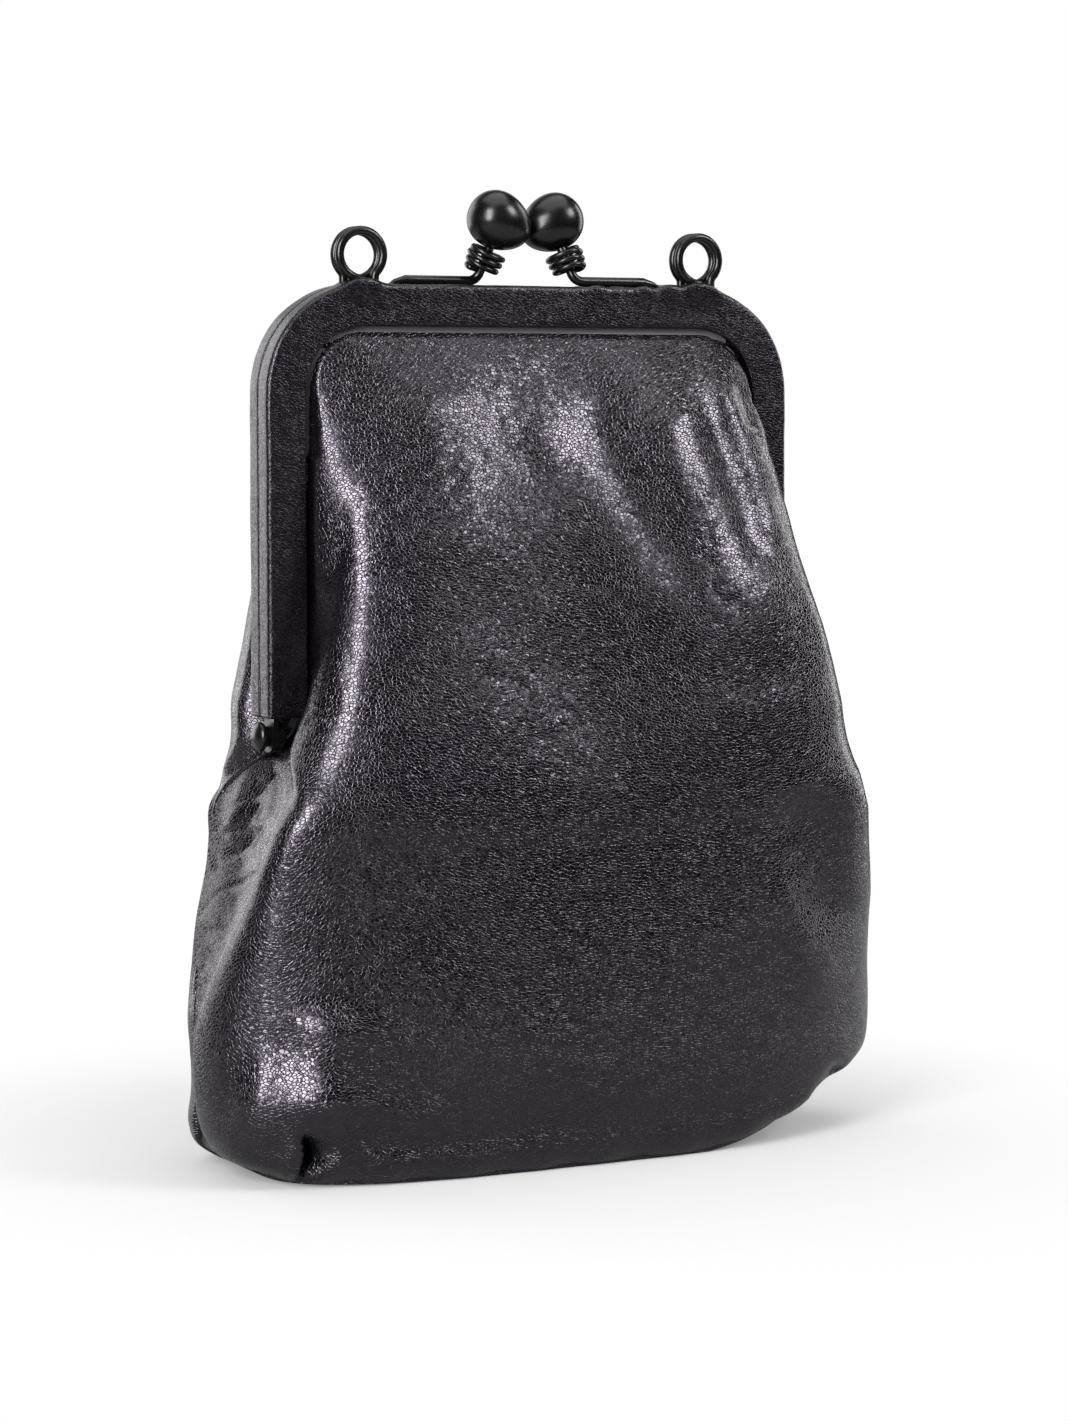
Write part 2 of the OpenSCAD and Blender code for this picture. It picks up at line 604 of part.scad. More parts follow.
// A rivet of the hinge: tail, shank through both lugs, shoulder and domed head
head_x = frame_half - 0.5;
head_rim = 0.5;
module hinge_rivet() {
  tail_x = rear_lug_x - lug_t - lug_clear - rivet_tail_h;
  dome_h = rivet_head_h - head_rim;
  dome_r = (pow(rivet_head_d / 2, 2) + pow(dome_h, 2)) / (2 * dome_h);
  color(black_metal) translate([0, 0, hinge_z]) rotate([0, 90, 0]) {
    translate([0, 0, tail_x]) cylinder(d = rivet_tail_d, h = rivet_tail_h);
    translate([0, 0, tail_x]) cylinder(d = rivet_shank_d, h = head_x - tail_x);
    translate([0, 0, front_lug_x + lug_clear])
      cylinder(d = rivet_tail_d, h = head_x - front_lug_x - lug_clear);
    translate([0, 0, head_x]) cylinder(d = rivet_head_d, h = head_rim);
    intersection() {
      translate([0, 0, head_x + rivet_head_h - dome_r]) sphere(dome_r);
      translate([0, 0, head_x + head_rim - eps]) cylinder(d = rivet_head_d, h = rivet_head_h);
    }
  }
}

module rear() {
  mirror([0, 1, 0]) children();
}
module half_turn() {
  rotate([0, 0, 180]) children();
}
module front_frame_cover() {
  difference() {
    frame_cover(front_lug_x);
    arm_pegs(slot_gap);
    ring_leg_holes();
  }
}
module rear_frame_cover() {
  difference() {
    rear() frame_cover(rear_lug_x);
    half_turn() arm_pegs(slot_gap);
  }
}

echo(collar_gap_to_itself = wire_gap(collar_path, collar_wire_d, turn_rings / 2));
echo(ring_gap_to_itself = wire_gap(ring_path(ring_offset), ring_wire_d, turn_rings / 2));

base_panel();
base_board();
lower_panel();  // front_panel
rear() lower_panel();  // rear_panel
mirror([1, 0, 0]) gusset();  // left_gusset
gusset();  // right_gusset
lining();
mirror([1, 0, 0]) hinge_rivet();  // left_hinge_rivet
hinge_rivet();  // right_hinge_rivet
channel();  // front_channel
channel_cord();  // front_channel_cord
front_frame_cover();
upper_panel();  // front_panel_top
upper_lining();  // front_lining_top
hinge_lugs(front_lug_x);  // front_hinge_lugs
strap_ring(-ring_offset);  // left_strap_ring
strap_ring(ring_offset);  // right_strap_ring
rear() channel();  // rear_channel
rear() channel_cord();  // rear_channel_cord
rear_frame_cover();
rear() upper_panel();  // rear_panel_top
rear() upper_lining();  // rear_lining_top
rear() hinge_lugs(rear_lug_x);  // rear_hinge_lugs
clasp_arm();  // front_clasp_arm
clasp_ball();  // front_clasp_ball
clasp_collar();  // front_clasp_collar
half_turn() clasp_arm();  // rear_clasp_arm
half_turn() clasp_ball();  // rear_clasp_ball
half_turn() clasp_collar();  // rear_clasp_collar
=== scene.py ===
from math import atan2, cos, hypot, pi, radians, sin, sqrt, tan

import bpy
import numpy as np
from mathutils import Matrix, Vector, noise


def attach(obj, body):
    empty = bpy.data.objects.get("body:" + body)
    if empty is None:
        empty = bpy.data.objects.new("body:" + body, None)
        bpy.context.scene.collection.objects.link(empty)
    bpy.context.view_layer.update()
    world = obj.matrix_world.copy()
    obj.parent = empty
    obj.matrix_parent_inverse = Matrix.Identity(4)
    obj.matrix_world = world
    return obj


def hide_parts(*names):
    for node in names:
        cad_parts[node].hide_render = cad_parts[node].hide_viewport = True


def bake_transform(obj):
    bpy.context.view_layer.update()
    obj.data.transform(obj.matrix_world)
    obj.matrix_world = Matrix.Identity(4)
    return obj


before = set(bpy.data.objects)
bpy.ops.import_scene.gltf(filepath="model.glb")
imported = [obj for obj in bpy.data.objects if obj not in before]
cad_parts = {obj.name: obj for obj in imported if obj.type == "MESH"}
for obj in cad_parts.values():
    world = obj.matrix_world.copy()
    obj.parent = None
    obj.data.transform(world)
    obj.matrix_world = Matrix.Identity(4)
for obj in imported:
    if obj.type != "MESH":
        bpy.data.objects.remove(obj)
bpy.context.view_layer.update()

# Kiss lock frame purse in dark pebbled leather. Lengths are in millimetres until a mesh is placed.
MM = 0.001

# The camera, found from the photograph's 1068 x 1424 frame
IMAGE_WIDTH, IMAGE_HEIGHT = 1068, 1424
FOCAL_PIXELS = 3760
AZIMUTH, ELEVATION = radians(-27.8), radians(4.9)
CAMERA_DISTANCE = 752
LOOK_AT = np.array([1.9, 0, 86.7])


def direction(azimuth, elevation):
    """From the purse to something seen from it; azimuth 0 is straight in front."""
    level = cos(elevation)
    return np.array([sin(azimuth) * level, -cos(azimuth) * level, sin(elevation)])


BACK = direction(AZIMUTH, ELEVATION)
RIGHT = np.array([cos(AZIMUTH), sin(AZIMUTH), 0])
UP = np.cross(BACK, RIGHT)
CAMERA_PLACE = LOOK_AT + BACK * CAMERA_DISTANCE

# The frame and hinge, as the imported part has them
FRAME_HALF = 57.8
FRAME_TOP = 171.3
CORNER_RADIUS = 21
CORNER_X = FRAME_HALF - CORNER_RADIUS
CORNER_Z = FRAME_TOP - CORNER_RADIUS
RAIL_WIDTH = 8.1
NEAR_FACE, FAR_FACE = 0.1, 4.7
HALF_MIDDLE = 2.4
FOOT_Z = 88.0
HINGE_Z = 84.3
COVER_T = 0.95

# Where the bag's leather leaves the channel, how far it reaches into it, and where the arch starts
EXIT_X = 48.7
EXIT_TOP = 162.5
EXIT_Y = 2.6
TONGUE = 2.4
ARCH_FROM = 138

LEATHER_T = 1.05
LINING_T = 0.45


def smooth_step(t):
    t = np.clip(t, 0, 1)
    return t * t * (3 - 2 * t)


def ramp(value, ends):
    """Soft rise from 0 at the first of two ends to 1 at the second."""
    start, end = ends
    return smooth_step((value - start) / (end - start))


def along(height, table, column):
    """Smooth curve through one column of a table, whose first column is the height."""
    rows = np.array(table, float)
    at, value = rows[:, 0], rows[:, column]
    slope = np.gradient(value, at)
    i = np.clip(np.searchsorted(at, height) - 1, 0, len(at) - 2)
    step = at[i + 1] - at[i]
    u = np.clip((height - at[i]) / step, 0, 1)
    start = (1 + 2 * u) * (1 - u) ** 2 * value[i] + u * (1 - u) ** 2 * step * slope[i]
    end = u * u * (3 - 2 * u) * value[i + 1] + u * u * (u - 1) * step * slope[i + 1]
    return start + end


def lumps(points, size, seed):
    """Smooth noise from about -1 to 1, with hills about size millimetres apart."""
    shift = Vector((17.3 * seed, 5.9 * seed, 11.1 * seed))
    flat = points.reshape(-1, 3)
    stretch = np.broadcast_to(np.array(size, float), 3)
    values = [noise.noise(Vector(p) + shift) for p in flat / stretch]
    return np.array(values).reshape(points.shape[:-1])


def seen_at(points):
    """Pixel of the photograph's frame at which each point appears."""
    offset = points - CAMERA_PLACE
    depth = -(offset @ BACK)
    across = IMAGE_WIDTH / 2 + FOCAL_PIXELS * (offset @ RIGHT) / depth
    down = IMAGE_HEIGHT / 2 - FOCAL_PIXELS * (offset @ UP) / depth
    return np.stack([across, down], -1)


PIXELS_PER_MM = FOCAL_PIXELS / CAMERA_DISTANCE
# Share of a crease's length over which each end fades
CREASE_FADE = 0.25


def from_line(pixels, line):
    """Distance in mm, signed side and place from 0 to 1 along a line drawn in photograph pixels."""
    line = np.array(line, float)
    lengths = np.linalg.norm(np.diff(line, axis=0), axis=1)
    total = lengths.sum()
    best = np.full(pixels.shape[:-1], 1e9)
    side = np.zeros_like(best)
    place = np.zeros_like(best)
    walked = 0
    for a, b, length in zip(line[:-1], line[1:], lengths):
        run = (b - a) / length
        rel = pixels - a
        u = np.clip(rel @ run, 0, length)
        gap = np.linalg.norm(rel - u[..., None] * run, axis=-1)
        closer = gap < best
        best = np.where(closer, gap, best)
        side = np.where(closer, np.sign(rel[..., 1] * run[0] - rel[..., 0] * run[1]), side)
        place = np.where(closer, (walked + u) / total, place)
        walked += length
    return best / PIXELS_PER_MM, side, place


def bell(distance, width):
    return np.exp(-((distance / width) ** 2))


def crease(pixels, line, width, height):
    """A soft ridge, or a furrow where height is below 0, that fades towards both ends of its line."""
    gap, _, place = from_line(pixels, line)
    fade = smooth_step(place / CREASE_FADE) * smooth_step((1 - place) / CREASE_FADE)
    return height * bell(gap, width) * fade


def wrinkles(points, size, seed, width, depth):
    """Fine branching furrows, where smooth noise passes 0."""
    gap = np.abs(lumps(points, size, seed))
    return -depth * np.clip(width - gap, 0, 1) / width


def deselect():
    if bpy.context.object and bpy.context.object.mode != "OBJECT":
        bpy.ops.object.mode_set(mode="OBJECT")
    bpy.ops.object.select_all(action="DESELECT")


def choose(piece):
    deselect()
    piece.select_set(True)
    bpy.context.view_layer.objects.active = piece


def put(name, data):
    """A new object in the scene, chosen."""
    piece = bpy.data.objects.new(name, data)
    bpy.context.scene.collection.objects.link(piece)
    choose(piece)
    return piece


def apply_modifier(piece, kind, **settings):
    choose(piece)
    modifier = piece.modifiers.new(kind.title(), kind)
    for name, value in settings.items():
        setattr(modifier, name, value)
    bpy.ops.object.modifier_apply(modifier=modifier.name)


def clean_mesh(piece, merge=None, outward=False):
    """Joins points closer than merge, in millimetres, and turns the faces outward where asked."""
    choose(piece)
    bpy.ops.object.mode_set(mode="EDIT")
    bpy.ops.mesh.select_all(action="SELECT")
    if merge:
        bpy.ops.mesh.remove_doubles(threshold=merge * MM)
    if outward:
        bpy.ops.mesh.normals_make_consistent(inside=False)
    bpy.ops.object.mode_set(mode="OBJECT")
    return piece


# Name, body and whether it is turned half round, for each half of the purse
HALVES = (("front", "front_half", False), ("rear", "rear_half", True))


def finish_piece(piece, name, body, slot, replaced, smooth=40):
    """Names a piece, gives it its slot's finish and a body to ride on; for a pair of bodies its place is
    only baked into its mesh.
    """
    choose(piece)
    bpy.ops.object.shade_smooth_by_angle(angle=radians(smooth))
    piece.name = piece.data.name = name
    piece.data.materials.clear()
    piece.data.materials.append(FINISHES[slot])
    if isinstance(body, str):
        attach(piece, body)
    else:
        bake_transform(piece)
    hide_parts(*replaced)


def grid_piece(columns, rows, shape, closed=False):
    """A grid primitive whose points are moved to shape(s, t), with s and t from 0 to 1."""
    deselect()
    bpy.ops.mesh.primitive_grid_add(x_subdivisions=columns, y_subdivisions=rows, size=2)
    piece = bpy.context.object
    mesh = piece.data
    flat = np.zeros(len(mesh.vertices) * 3)
    mesh.vertices.foreach_get("co", flat)
    flat = flat.reshape(-1, 3)
    i = np.rint((flat[:, 0] + 1) / 2 * columns).astype(int)
    j = np.rint((flat[:, 1] + 1) / 2 * rows).astype(int)
    points = shape(np.linspace(0, 1, columns + 1), np.linspace(0, 1, rows + 1))
    mesh.vertices.foreach_set("co", (points[j, i] * MM).ravel())
    mesh.update()
    return clean_mesh(piece, merge=0.01) if closed else piece


def sheet(columns, rows, shape, thickness, closed=False):
    """A grid piece with a thickness, inward from its faces."""
    piece = grid_piece(columns, rows, shape, closed)
    apply_modifier(piece, "SOLIDIFY", thickness=thickness * MM, offset=-1)
    return piece


def half_turn(points, turned):
    """Points turned half round the upright axis, or left as they are."""
    return points * np.array([-1, -1, 1]) if turned else points


def grid_normals(points):
    across = np.gradient(points, axis=1)
    up = np.gradient(points, axis=0)
    normal = np.cross(across, up)
    return normal / np.maximum(np.linalg.norm(normal, axis=-1, keepdims=True), 1e-9)


def resample(line, places):
    """Points at the given shares of a line's length."""
    steps = np.linalg.norm(np.diff(line, axis=0), axis=1)
    length = np.concatenate([[0], np.cumsum(steps)]) / steps.sum()
    return np.stack([np.interp(places, length, line[:, k]) for k in range(line.shape[1])], -1)


# The bag's outside: height, half width and half depth of the panel's edge, half width and half depth
# of the bag there, and squareness of the section
BAG = (
    (0.8, 62.8, 5.2, 62.8, 28.6, 3.3),
    (4, 68.6, 4.6, 68.6, 29.8, 3),
    (8, 71.6, 4.2, 71.6, 30.2, 2.8),
    (14, 73.1, 3.9, 73.1, 31, 2.7),
    (20, 73.7, 3.9, 73.7, 31.4, 2.6),
    (31, 73, 4.6, 73, 31.4, 2.6),
    (42, 70.6, 8.3, 70.6, 31, 2.6),
    (56, 66.4, 14.2, 66.4, 29.8, 2.7),
    (63, 64.5, 16.5, 64.5, 29.2, 2.8),
    (70, 61.9, 17.4, 62.1, 29, 3),
    (73.5, 59.3, 16, 60.6, 28.7, 3.2),
    (77, 56.4, 11.6, 59.2, 28.2, 3.5),
    (81, 53.4, 6.6, 57.8, 27.5, 3.9),
    (85, 50.8, 3.8, 56.5, 26.7, 4.3),
    (89, 49.2, 2.7, 55.4, 25.9, 4.8),
)
# In the window the edge is in the channel, so these rows leave it out
BAG += tuple((z, EXIT_X, EXIT_Y, *rest) for z, *rest in (
    (96, 53.9, 24.4, 5.4), (104, 52, 22.8, 5.8), (111, 50.6, 21.2, 5.8), (120, 49.3, 18.6, 5.2),
    (130, EXIT_X, 15.6, 5), (138, EXIT_X, 13, 4.8), (145, EXIT_X, 10.8, 3.3), (152, EXIT_X, 8.1, 3),
    (158, EXIT_X, 5.5, 3), (161.3, EXIT_X, 3.7, 3), (EXIT_TOP, EXIT_X, EXIT_Y, 3),
))
# How much wider and deeper the bag is on the viewer's right, by height
PUFF = (
    (6, 0, 0), (16, 0.7, 0.2), (26, 1, 0.4), (34, 1.3, 0.6), (42, 2.3, 1), (54, 3.4, 1.4),
    (62, 3.8, 1.8), (71, 4.8, 2.4), (79, 6.4, 3.4), (87, 7.4, 4.4), (95, 7.2, 4.2), (103, 7, 4.2),
    (111, 6.5, 4), (120, 6.2, 3.8), (128, 5.4, 3.8), (137, 3.2, 4), (146, 0.4, 2.2),
    (154, 0, 0.4), (160, 0, 0),
)
# How far the front's left ridge stands in from the bag's width, and how square its section is
LEFT_IN = (
    (72, 0), (80, 0.8), (90, 2.1), (100, 2.8), (112, 3.1), (130, 3.1), (144, 2.8), (154, 1.2), (160, 0),
)
LEFT_SQUARE = 4.6
# How far the base's ends lift off the ground
LIFT_LEFT, LIFT_RIGHT, LIFT_FROM, LIFT_END, LIFT_HIGH = 0.4, 11.0, 26, 62, 26
# Depth at which the leather is clear of the frame's legs, and over which it then spreads past them
LEG_FRONT, FLARE_REACH = 5.1, 7
# The rear panel hangs rounder and narrower than the front one
REAR_SQUARE = 2.1
REAR_NARROW = (
    (0, 0), (4, 0), (8, 1), (15, 3.2), (31, 3.1), (47, 3.1), (63, 3.9), (71, 2), (79, 0.8),
    (95, 0.8), (111, 0),
)
REAR_PUFF = 0.35
# Heights over which each change of the section comes in
ABOVE_HIP, EDGE_PUFFS, EDGE_NARROWS = (78, 92), (72, 66), (80, 72)
REAR_HANGS, IN_CHANNEL, TUCKS_UNDER = (80, 68), (89, 91.5), (86, 80)
UNDER = 1.3
# Points of the half section before its turn, after it and on its tail
FLANK_STEPS, SIDE_STEPS, TAIL_STEPS = 90, 60, 8


def lift(x, z):
    """How far the base's ends lift; the lift dies out up the side."""
    reach = (np.abs(x) - LIFT_FROM) / (LIFT_END - LIFT_FROM)
    most = np.where(x > 0, LIFT_RIGHT, LIFT_LEFT)
    return most * np.clip(reach, 0, 1.2) ** 1.4 * np.clip(1 - z / LIFT_HIGH, 0, 1) ** 2


def puff_share(z, right, rear):
    """Share of the extra width and depth on one side of a panel."""
    if not right:
        return 0.0
    return REAR_PUFF * ramp(z, ABOVE_HIP) if rear else 1.0


def superellipse(square):
    """A quarter of a rounded square of half side 1, from its front to its side."""
    turn = 0.5 ** (1 / square)
    first = np.linspace(0, turn, FLANK_STEPS)
    second = np.linspace(turn, 0, SIDE_STEPS)[1:]
    x = np.concatenate([first, (1 - second ** square) ** (1 / square)])
    y = np.concatenate([(1 - first ** square) ** (1 / square), second])
    return x, y


def half_section(z, right, rear, inset=0.0):
    """Line from the middle of the front to its edge at height z, as half width and half depth."""
    edge_x, edge_y, width, depth, square = (along(z, BAG, k) for k in range(1, 6))
    share = puff_share(z, right, rear)
    wider, deeper = share * along(z, PUFF, 1), share * along(z, PUFF, 2)
    width = width + wider
    edge_x = edge_x + wider * ramp(z, EDGE_PUFFS)
    if not (right or rear):
        width = width - along(z, LEFT_IN, 1)
        square = square + (LEFT_SQUARE - square) * ramp(z, ABOVE_HIP)
    if rear:
        narrow = along(z, REAR_NARROW, 1)
        width = width - narrow
        edge_x = edge_x - narrow * ramp(z, EDGE_NARROWS)
        square = square + (REAR_SQUARE - square) * ramp(z, REAR_HANGS)
    across, forward = superellipse(square)
    y = edge_y + (depth - edge_y) * forward + deeper * forward * smooth_step(across / 0.5)
    flare = smooth_step((y - max(edge_y, LEG_FRONT)) / FLARE_REACH)
    line = np.stack([across * (edge_x + (width - edge_x) * flare), y], -1)
    under = UNDER * ramp(z, TUCKS_UNDER)
    k = np.linspace(0, 1, TAIL_STEPS)[1:, None]
    tail = line[-1] + k * np.array([TONGUE * ramp(z, IN_CHANNEL) - under, -0.5 * under])
    line = np.concatenate([line, tail])
    if inset:
        run = np.gradient(line, axis=0)
        run /= np.maximum(np.linalg.norm(run, axis=1, keepdims=True), 1e-9)
        line = line + inset * np.stack([run[:, 1], -run[:, 0]], -1)
        line[:, 0] = np.maximum(line[:, 0], 0)
    return line


def arch_line():
    """Half of the line that the leather's edge follows in the channel, from the middle to the leg."""
    radius = EXIT_X + TONGUE - CORNER_X
    top = CORNER_Z + radius
    turn = np.radians(np.linspace(90, 0, 24))
    arc = np.stack([CORNER_X + radius * np.cos(turn), CORNER_Z + radius * np.sin(turn)], -1)
    return np.concatenate([[[0, top]], arc])


def exit_width(z):
    """Half width of the window at height z, less the clearance to the leather."""
    radius = EXIT_X - CORNER_X
    rise = np.clip(z - (EXIT_TOP - radius), 0, radius)
    return CORNER_X + np.sqrt(radius ** 2 - rise ** 2)


# Share of a panel's rows above the arch's start, where the rows begin, and the turn of the hem
ARCH_SHARE = 0.16
PANEL_FOOT = 0.8
HEM, HEM_SHARE, HEM_HALF_X, HEM_HALF_Y = 0.4, 0.006, 60, 26


def panel_surface(s, t, rear, inset=0.0):
    """The smooth front panel, as rows of points: s runs left to right, t from the base to the rail."""
    lower = t < 1 - ARCH_SHARE
    heights = PANEL_FOOT + t[lower] / (1 - ARCH_SHARE) * (ARCH_FROM - PANEL_FOOT)
    places = np.abs(2 * s - 1)
    is_right = s > 0.5
    sign = np.where(is_right, 1, -1)
    rows = []
    for z in list(heights) + [ARCH_FROM]:
        left, right = (resample(half_section(z, side, rear, inset), places) for side in (False, True))
        row = np.where(is_right[:, None], right, left)
        rows.append(np.stack([sign * row[:, 0], -row[:, 1], np.full(len(s), z)], -1))
    base = rows.pop()
    arch = resample(arch_line(), places)
    full = along(ARCH_FROM, BAG, 4) - EXIT_Y
    for v in (t[~lower] - (1 - ARCH_SHARE)) / ARCH_SHARE:
        x = (1 - v) * np.abs(base[:, 0]) + v * arch[:, 0]
        z = (1 - v) * base[:, 2] + v * arch[:, 1]
        level = ARCH_FROM + v * (arch[:, 1].max() - ARCH_FROM)
        share = (along(min(level, EXIT_TOP), BAG, 4) - EXIT_Y) / full
        bulge = np.maximum(-base[:, 1] - EXIT_Y, 0) * share
        over = x - exit_width(z)
        bulge *= np.maximum(1 - smooth_step(over + 1), smooth_step((bulge - 3.5) / 3))
        room = exit_width(z) + 4 * smooth_step((bulge + EXIT_Y - LEG_FRONT) / FLARE_REACH)
        x = np.where(bulge > 0.15, np.minimum(x, room), x)
        rows.append(np.stack([sign * x, -(EXIT_Y + bulge), z], -1))
    points = np.array(rows)
    points[..., 2] += lift(-points[..., 0] if rear else points[..., 0], points[..., 2])
    tuck = HEM * np.clip(1 - t / HEM_SHARE, 0, 1)[:, None]
    points[..., 0] *= 1 - tuck / HEM_HALF_X
    points[..., 1] *= 1 - tuck / HEM_HALF_Y
    return points


# Folds of the front, drawn in the photograph's pixels: line, width and height in millimetres
FOLDS = (
    ([(410, 350), (424, 430), (432, 510), (424, 590)], 9, 0.7),
    ([(226, 1094), (270, 1108), (320, 1116), (366, 1110)], 8, 2),
    ([(342, 1000), (334, 1040), (330, 1080), (332, 1130)], 6.5, 2.2),
    ([(708, 352), (722, 385), (739, 425), (756, 465), (772, 515), (790, 570)], 2.6, 0.8),
    ([(696, 372), (712, 420), (728, 470), (748, 530), (770, 590)], 3.4, -0.6),
    ([(738, 380), (750, 410), (758, 430)], 1.6, -0.9),
    ([(530, 360), (554, 430), (586, 500), (628, 570), (664, 650)], 7, 0.7),
    ([(590, 370), (616, 440), (650, 510), (688, 580), (712, 650)], 7, -0.8),
    ([(650, 360), (680, 440), (716, 520), (752, 590), (786, 650)], 8, 0.9),
    ([(712, 400), (744, 470), (776, 530)], 5.5, -0.4),
    ([(440, 340), (470, 420), (480, 520), (470, 620)], 10, 0.4),
    ([(385, 548), (428, 516), (472, 462)], 0.7, -0.35),
    ([(388, 530), (424, 506), (462, 470)], 0.6, -0.25),
    ([(384, 514), (410, 494), (440, 476), (462, 452)], 0.7, -0.3),
    ([(392, 566), (430, 540), (470, 508)], 0.7, -0.25),
    ([(330, 1124), (420, 1142), (520, 1128), (600, 1098)], 3.5, -0.5),
    ([(330, 1098), (400, 1122), (480, 1120)], 3, 0.5),
    ([(800, 780), (820, 860), (832, 940)], 6, -1),
    ([(770, 860), (800, 940), (830, 1010)], 5, 0.8),
    ([(846, 760), (856, 850), (858, 930)], 4, 0.8),
)
# The pinched corner at the front's lower left: its edge in pixels, with its slope, then millimetres
DART_X, DART_TOP, DART_FOOT, DART_SLOPE = 301, 1126, 1176, 0.14
DART_REACH, DART_DEPTH, DART_OVER, DART_LIP = 8.8, 5.6, 1.5, 0.9
# The slit at the front's lower right
SLIT = [(850, 1060), (838, 1074), (824, 1092), (814, 1104)]
SLIT_DEPTH, SLIT_REACH, SLIT_EDGE = 1.2, 1.6, 0.5
# A panel's unevenness: size of the hills, their height, and the heights over which they come in
PANEL_LUMPS = (((30, 30, 42), 1.2, (0, 30)), (15, 0.26, (20, 60)), (5.5, 0.05, (-1, 0)))
# Fine wrinkles, found in patches: size, width and depth, and the same for the patches' noise
WRINKLE_SIZE, WRINKLE_WIDTH, WRINKLE_DEPTH = (9, 9, 5), 0.14, 0.12
WRINKLE_PATCH, PATCH_ENDS, WRINKLE_HEIGHTS = 30, (-0.1, 0.2), (60, 100)
# Gathers at the base's seam, and the reach below the rail over which the leather hangs loose
GATHER, GATHER_TURNS, GATHER_HIGH, LOOSE_REACH = 0.35, 0.42, 16, 26
# Share of a panel's width or height over which its edge is held, and the lowest that it hangs
HELD, LOWEST = 0.03, 0.5


def dart(pixels):
    """The pocket right of the corner's fold: how deep it is, and how far the fold leans over it."""
    down = pixels[..., 1] - DART_TOP
    right = (pixels[..., 0] - (DART_X - DART_SLOPE * down)) / PIXELS_PER_MM
    span = down / (DART_FOOT - DART_TOP)
    opening = smooth_step(span * 1.7) * smooth_step((1.14 - span) / 0.3)
    reach = DART_REACH * np.clip(1 - ((span - 0.5) / 0.8) ** 2, 0.2, 1)
    pocket = smooth_step(right / 0.5) * np.clip(1 - right / reach, 0, 1) ** 1.2
    relief = (DART_LIP * bell(right + 1.4, 1.6) - DART_DEPTH * pocket) * opening
    return relief, DART_OVER * bell(right + 0.3, 1.0) * opening


def slit(pixels):
    """A slit whose lower lip lies back."""
    gap, side, place = from_line(pixels, SLIT)
    fade = smooth_step(place / 0.3) * smooth_step((1.1 - place) / 0.3)
    return -SLIT_DEPTH * np.where(side > 0, bell(gap, SLIT_REACH), bell(gap, SLIT_EDGE)) * fade


def panel_relief(points, seed, photographed):
    """How far each point of a panel stands proud of its smooth form."""
    z = points[..., 2]
    pixels = seen_at(points)
    relief = sum(crease(pixels, *fold) for fold in FOLDS)
    if photographed:
        relief += dart(pixels)[0] + slit(pixels)
    loose = smooth_step((EXIT_TOP - z) / LOOSE_REACH)
    for k, (size, height, heights) in enumerate(PANEL_LUMPS):
        relief += height * lumps(points, size, seed + k) * loose * ramp(z, heights)
    wrinkled = ramp(lumps(points, WRINKLE_PATCH, seed + 5), PATCH_ENDS) * ramp(z, WRINKLE_HEIGHTS)
    fine = wrinkles(points, WRINKLE_SIZE, seed + 3, WRINKLE_WIDTH, WRINKLE_DEPTH)
    relief += fine * loose * wrinkled
    gathers = np.sin(points[..., 0] * GATHER_TURNS + 2 * lumps(points, 24, seed + 4))
    return relief + GATHER * gathers * np.clip(1 - z / GATHER_HIGH, 0, 1) ** 2


def panel_points(s, t, seed, rear):
    """A whole panel; beside the frame's legs it stays behind their front faces."""
    points = panel_surface(s, t, rear)
    held = np.minimum(smooth_step((1 - np.abs(2 * s - 1)) / HELD)[None, :],
                      smooth_step((1 - t) / HELD)[:, None])
    relief = panel_relief(points, seed, not rear) * held
    moved = points + relief[..., None] * grid_normals(points)
    if not rear:
        moved += dart(seen_at(points))[1][..., None] * RIGHT
    by_leg = (moved[..., 2] > FOOT_Z) & (np.abs(moved[..., 0]) > EXIT_X) & (relief != 0)
    sunk = by_leg & (moved[..., 1] > -LEG_FRONT) & (points[..., 1] < -LEG_FRONT)
    moved[..., 1] = np.where(sunk, -LEG_FRONT, moved[..., 1])
    moved[..., 2] = np.maximum(moved[..., 2], LOWEST)
    return half_turn(moved, rear)


PANEL_SEEDS = {"front": 3, "rear": 11}
# Where the upper linings start as a share of the panels' rows, how far in they hang, and the most
# that they come forward into the channel
LINING_FROM, UPPER_LINING_IN, LINING_NEAR = 0.22, 2.2, -1.7


def upper_lining_points(s, t, rear):
    points = panel_surface(s, LINING_FROM + (1 - LINING_FROM) * t, rear, inset=UPPER_LINING_IN)
    points[..., 1] = np.minimum(points[..., 1], LINING_NEAR)
    return half_turn(points, rear)


def make_panels():
    for name, half, turned in HALVES:
        piece = sheet(222, 196, lambda s, t: panel_points(s, t, PANEL_SEEDS[name], turned), LEATHER_T)
        finish_piece(piece, name + "_leather", ("bag", half), "bag_leather",
                     (name + "_panel", name + "_panel_top"), 60)


def make_upper_linings():
    for name, half, turned in HALVES:
        piece = sheet(90, 90, lambda s, t: upper_lining_points(s, t, turned), LINING_T)
        finish_piece(piece, name + "_lining", ("bag", half), "lining_cloth",
                     (name + "_lining_top",), 60)


# How far the gusset sinks in its middle, by height
GUSSET_SINK = ((1, 0), (20, 0.2), (32, 0.8), (46, 1.8), (60, 2.6), (70, 2.4), (78, 1.2), (87, 0))
GUSSET_UNDER_FRONT, GUSSET_UNDER_REAR, GUSSET_OVER_REAR, REAR_RISES = 2.4, 0.5, -0.2, (16, 24)
GUSSET_FOOT, GUSSET_TOP, GUSSET_TUCK, GUSSET_T = 1.6, 86.6, 2.2, 0.9
GUSSET_SEEDS = {"left": 23, "right": 31}
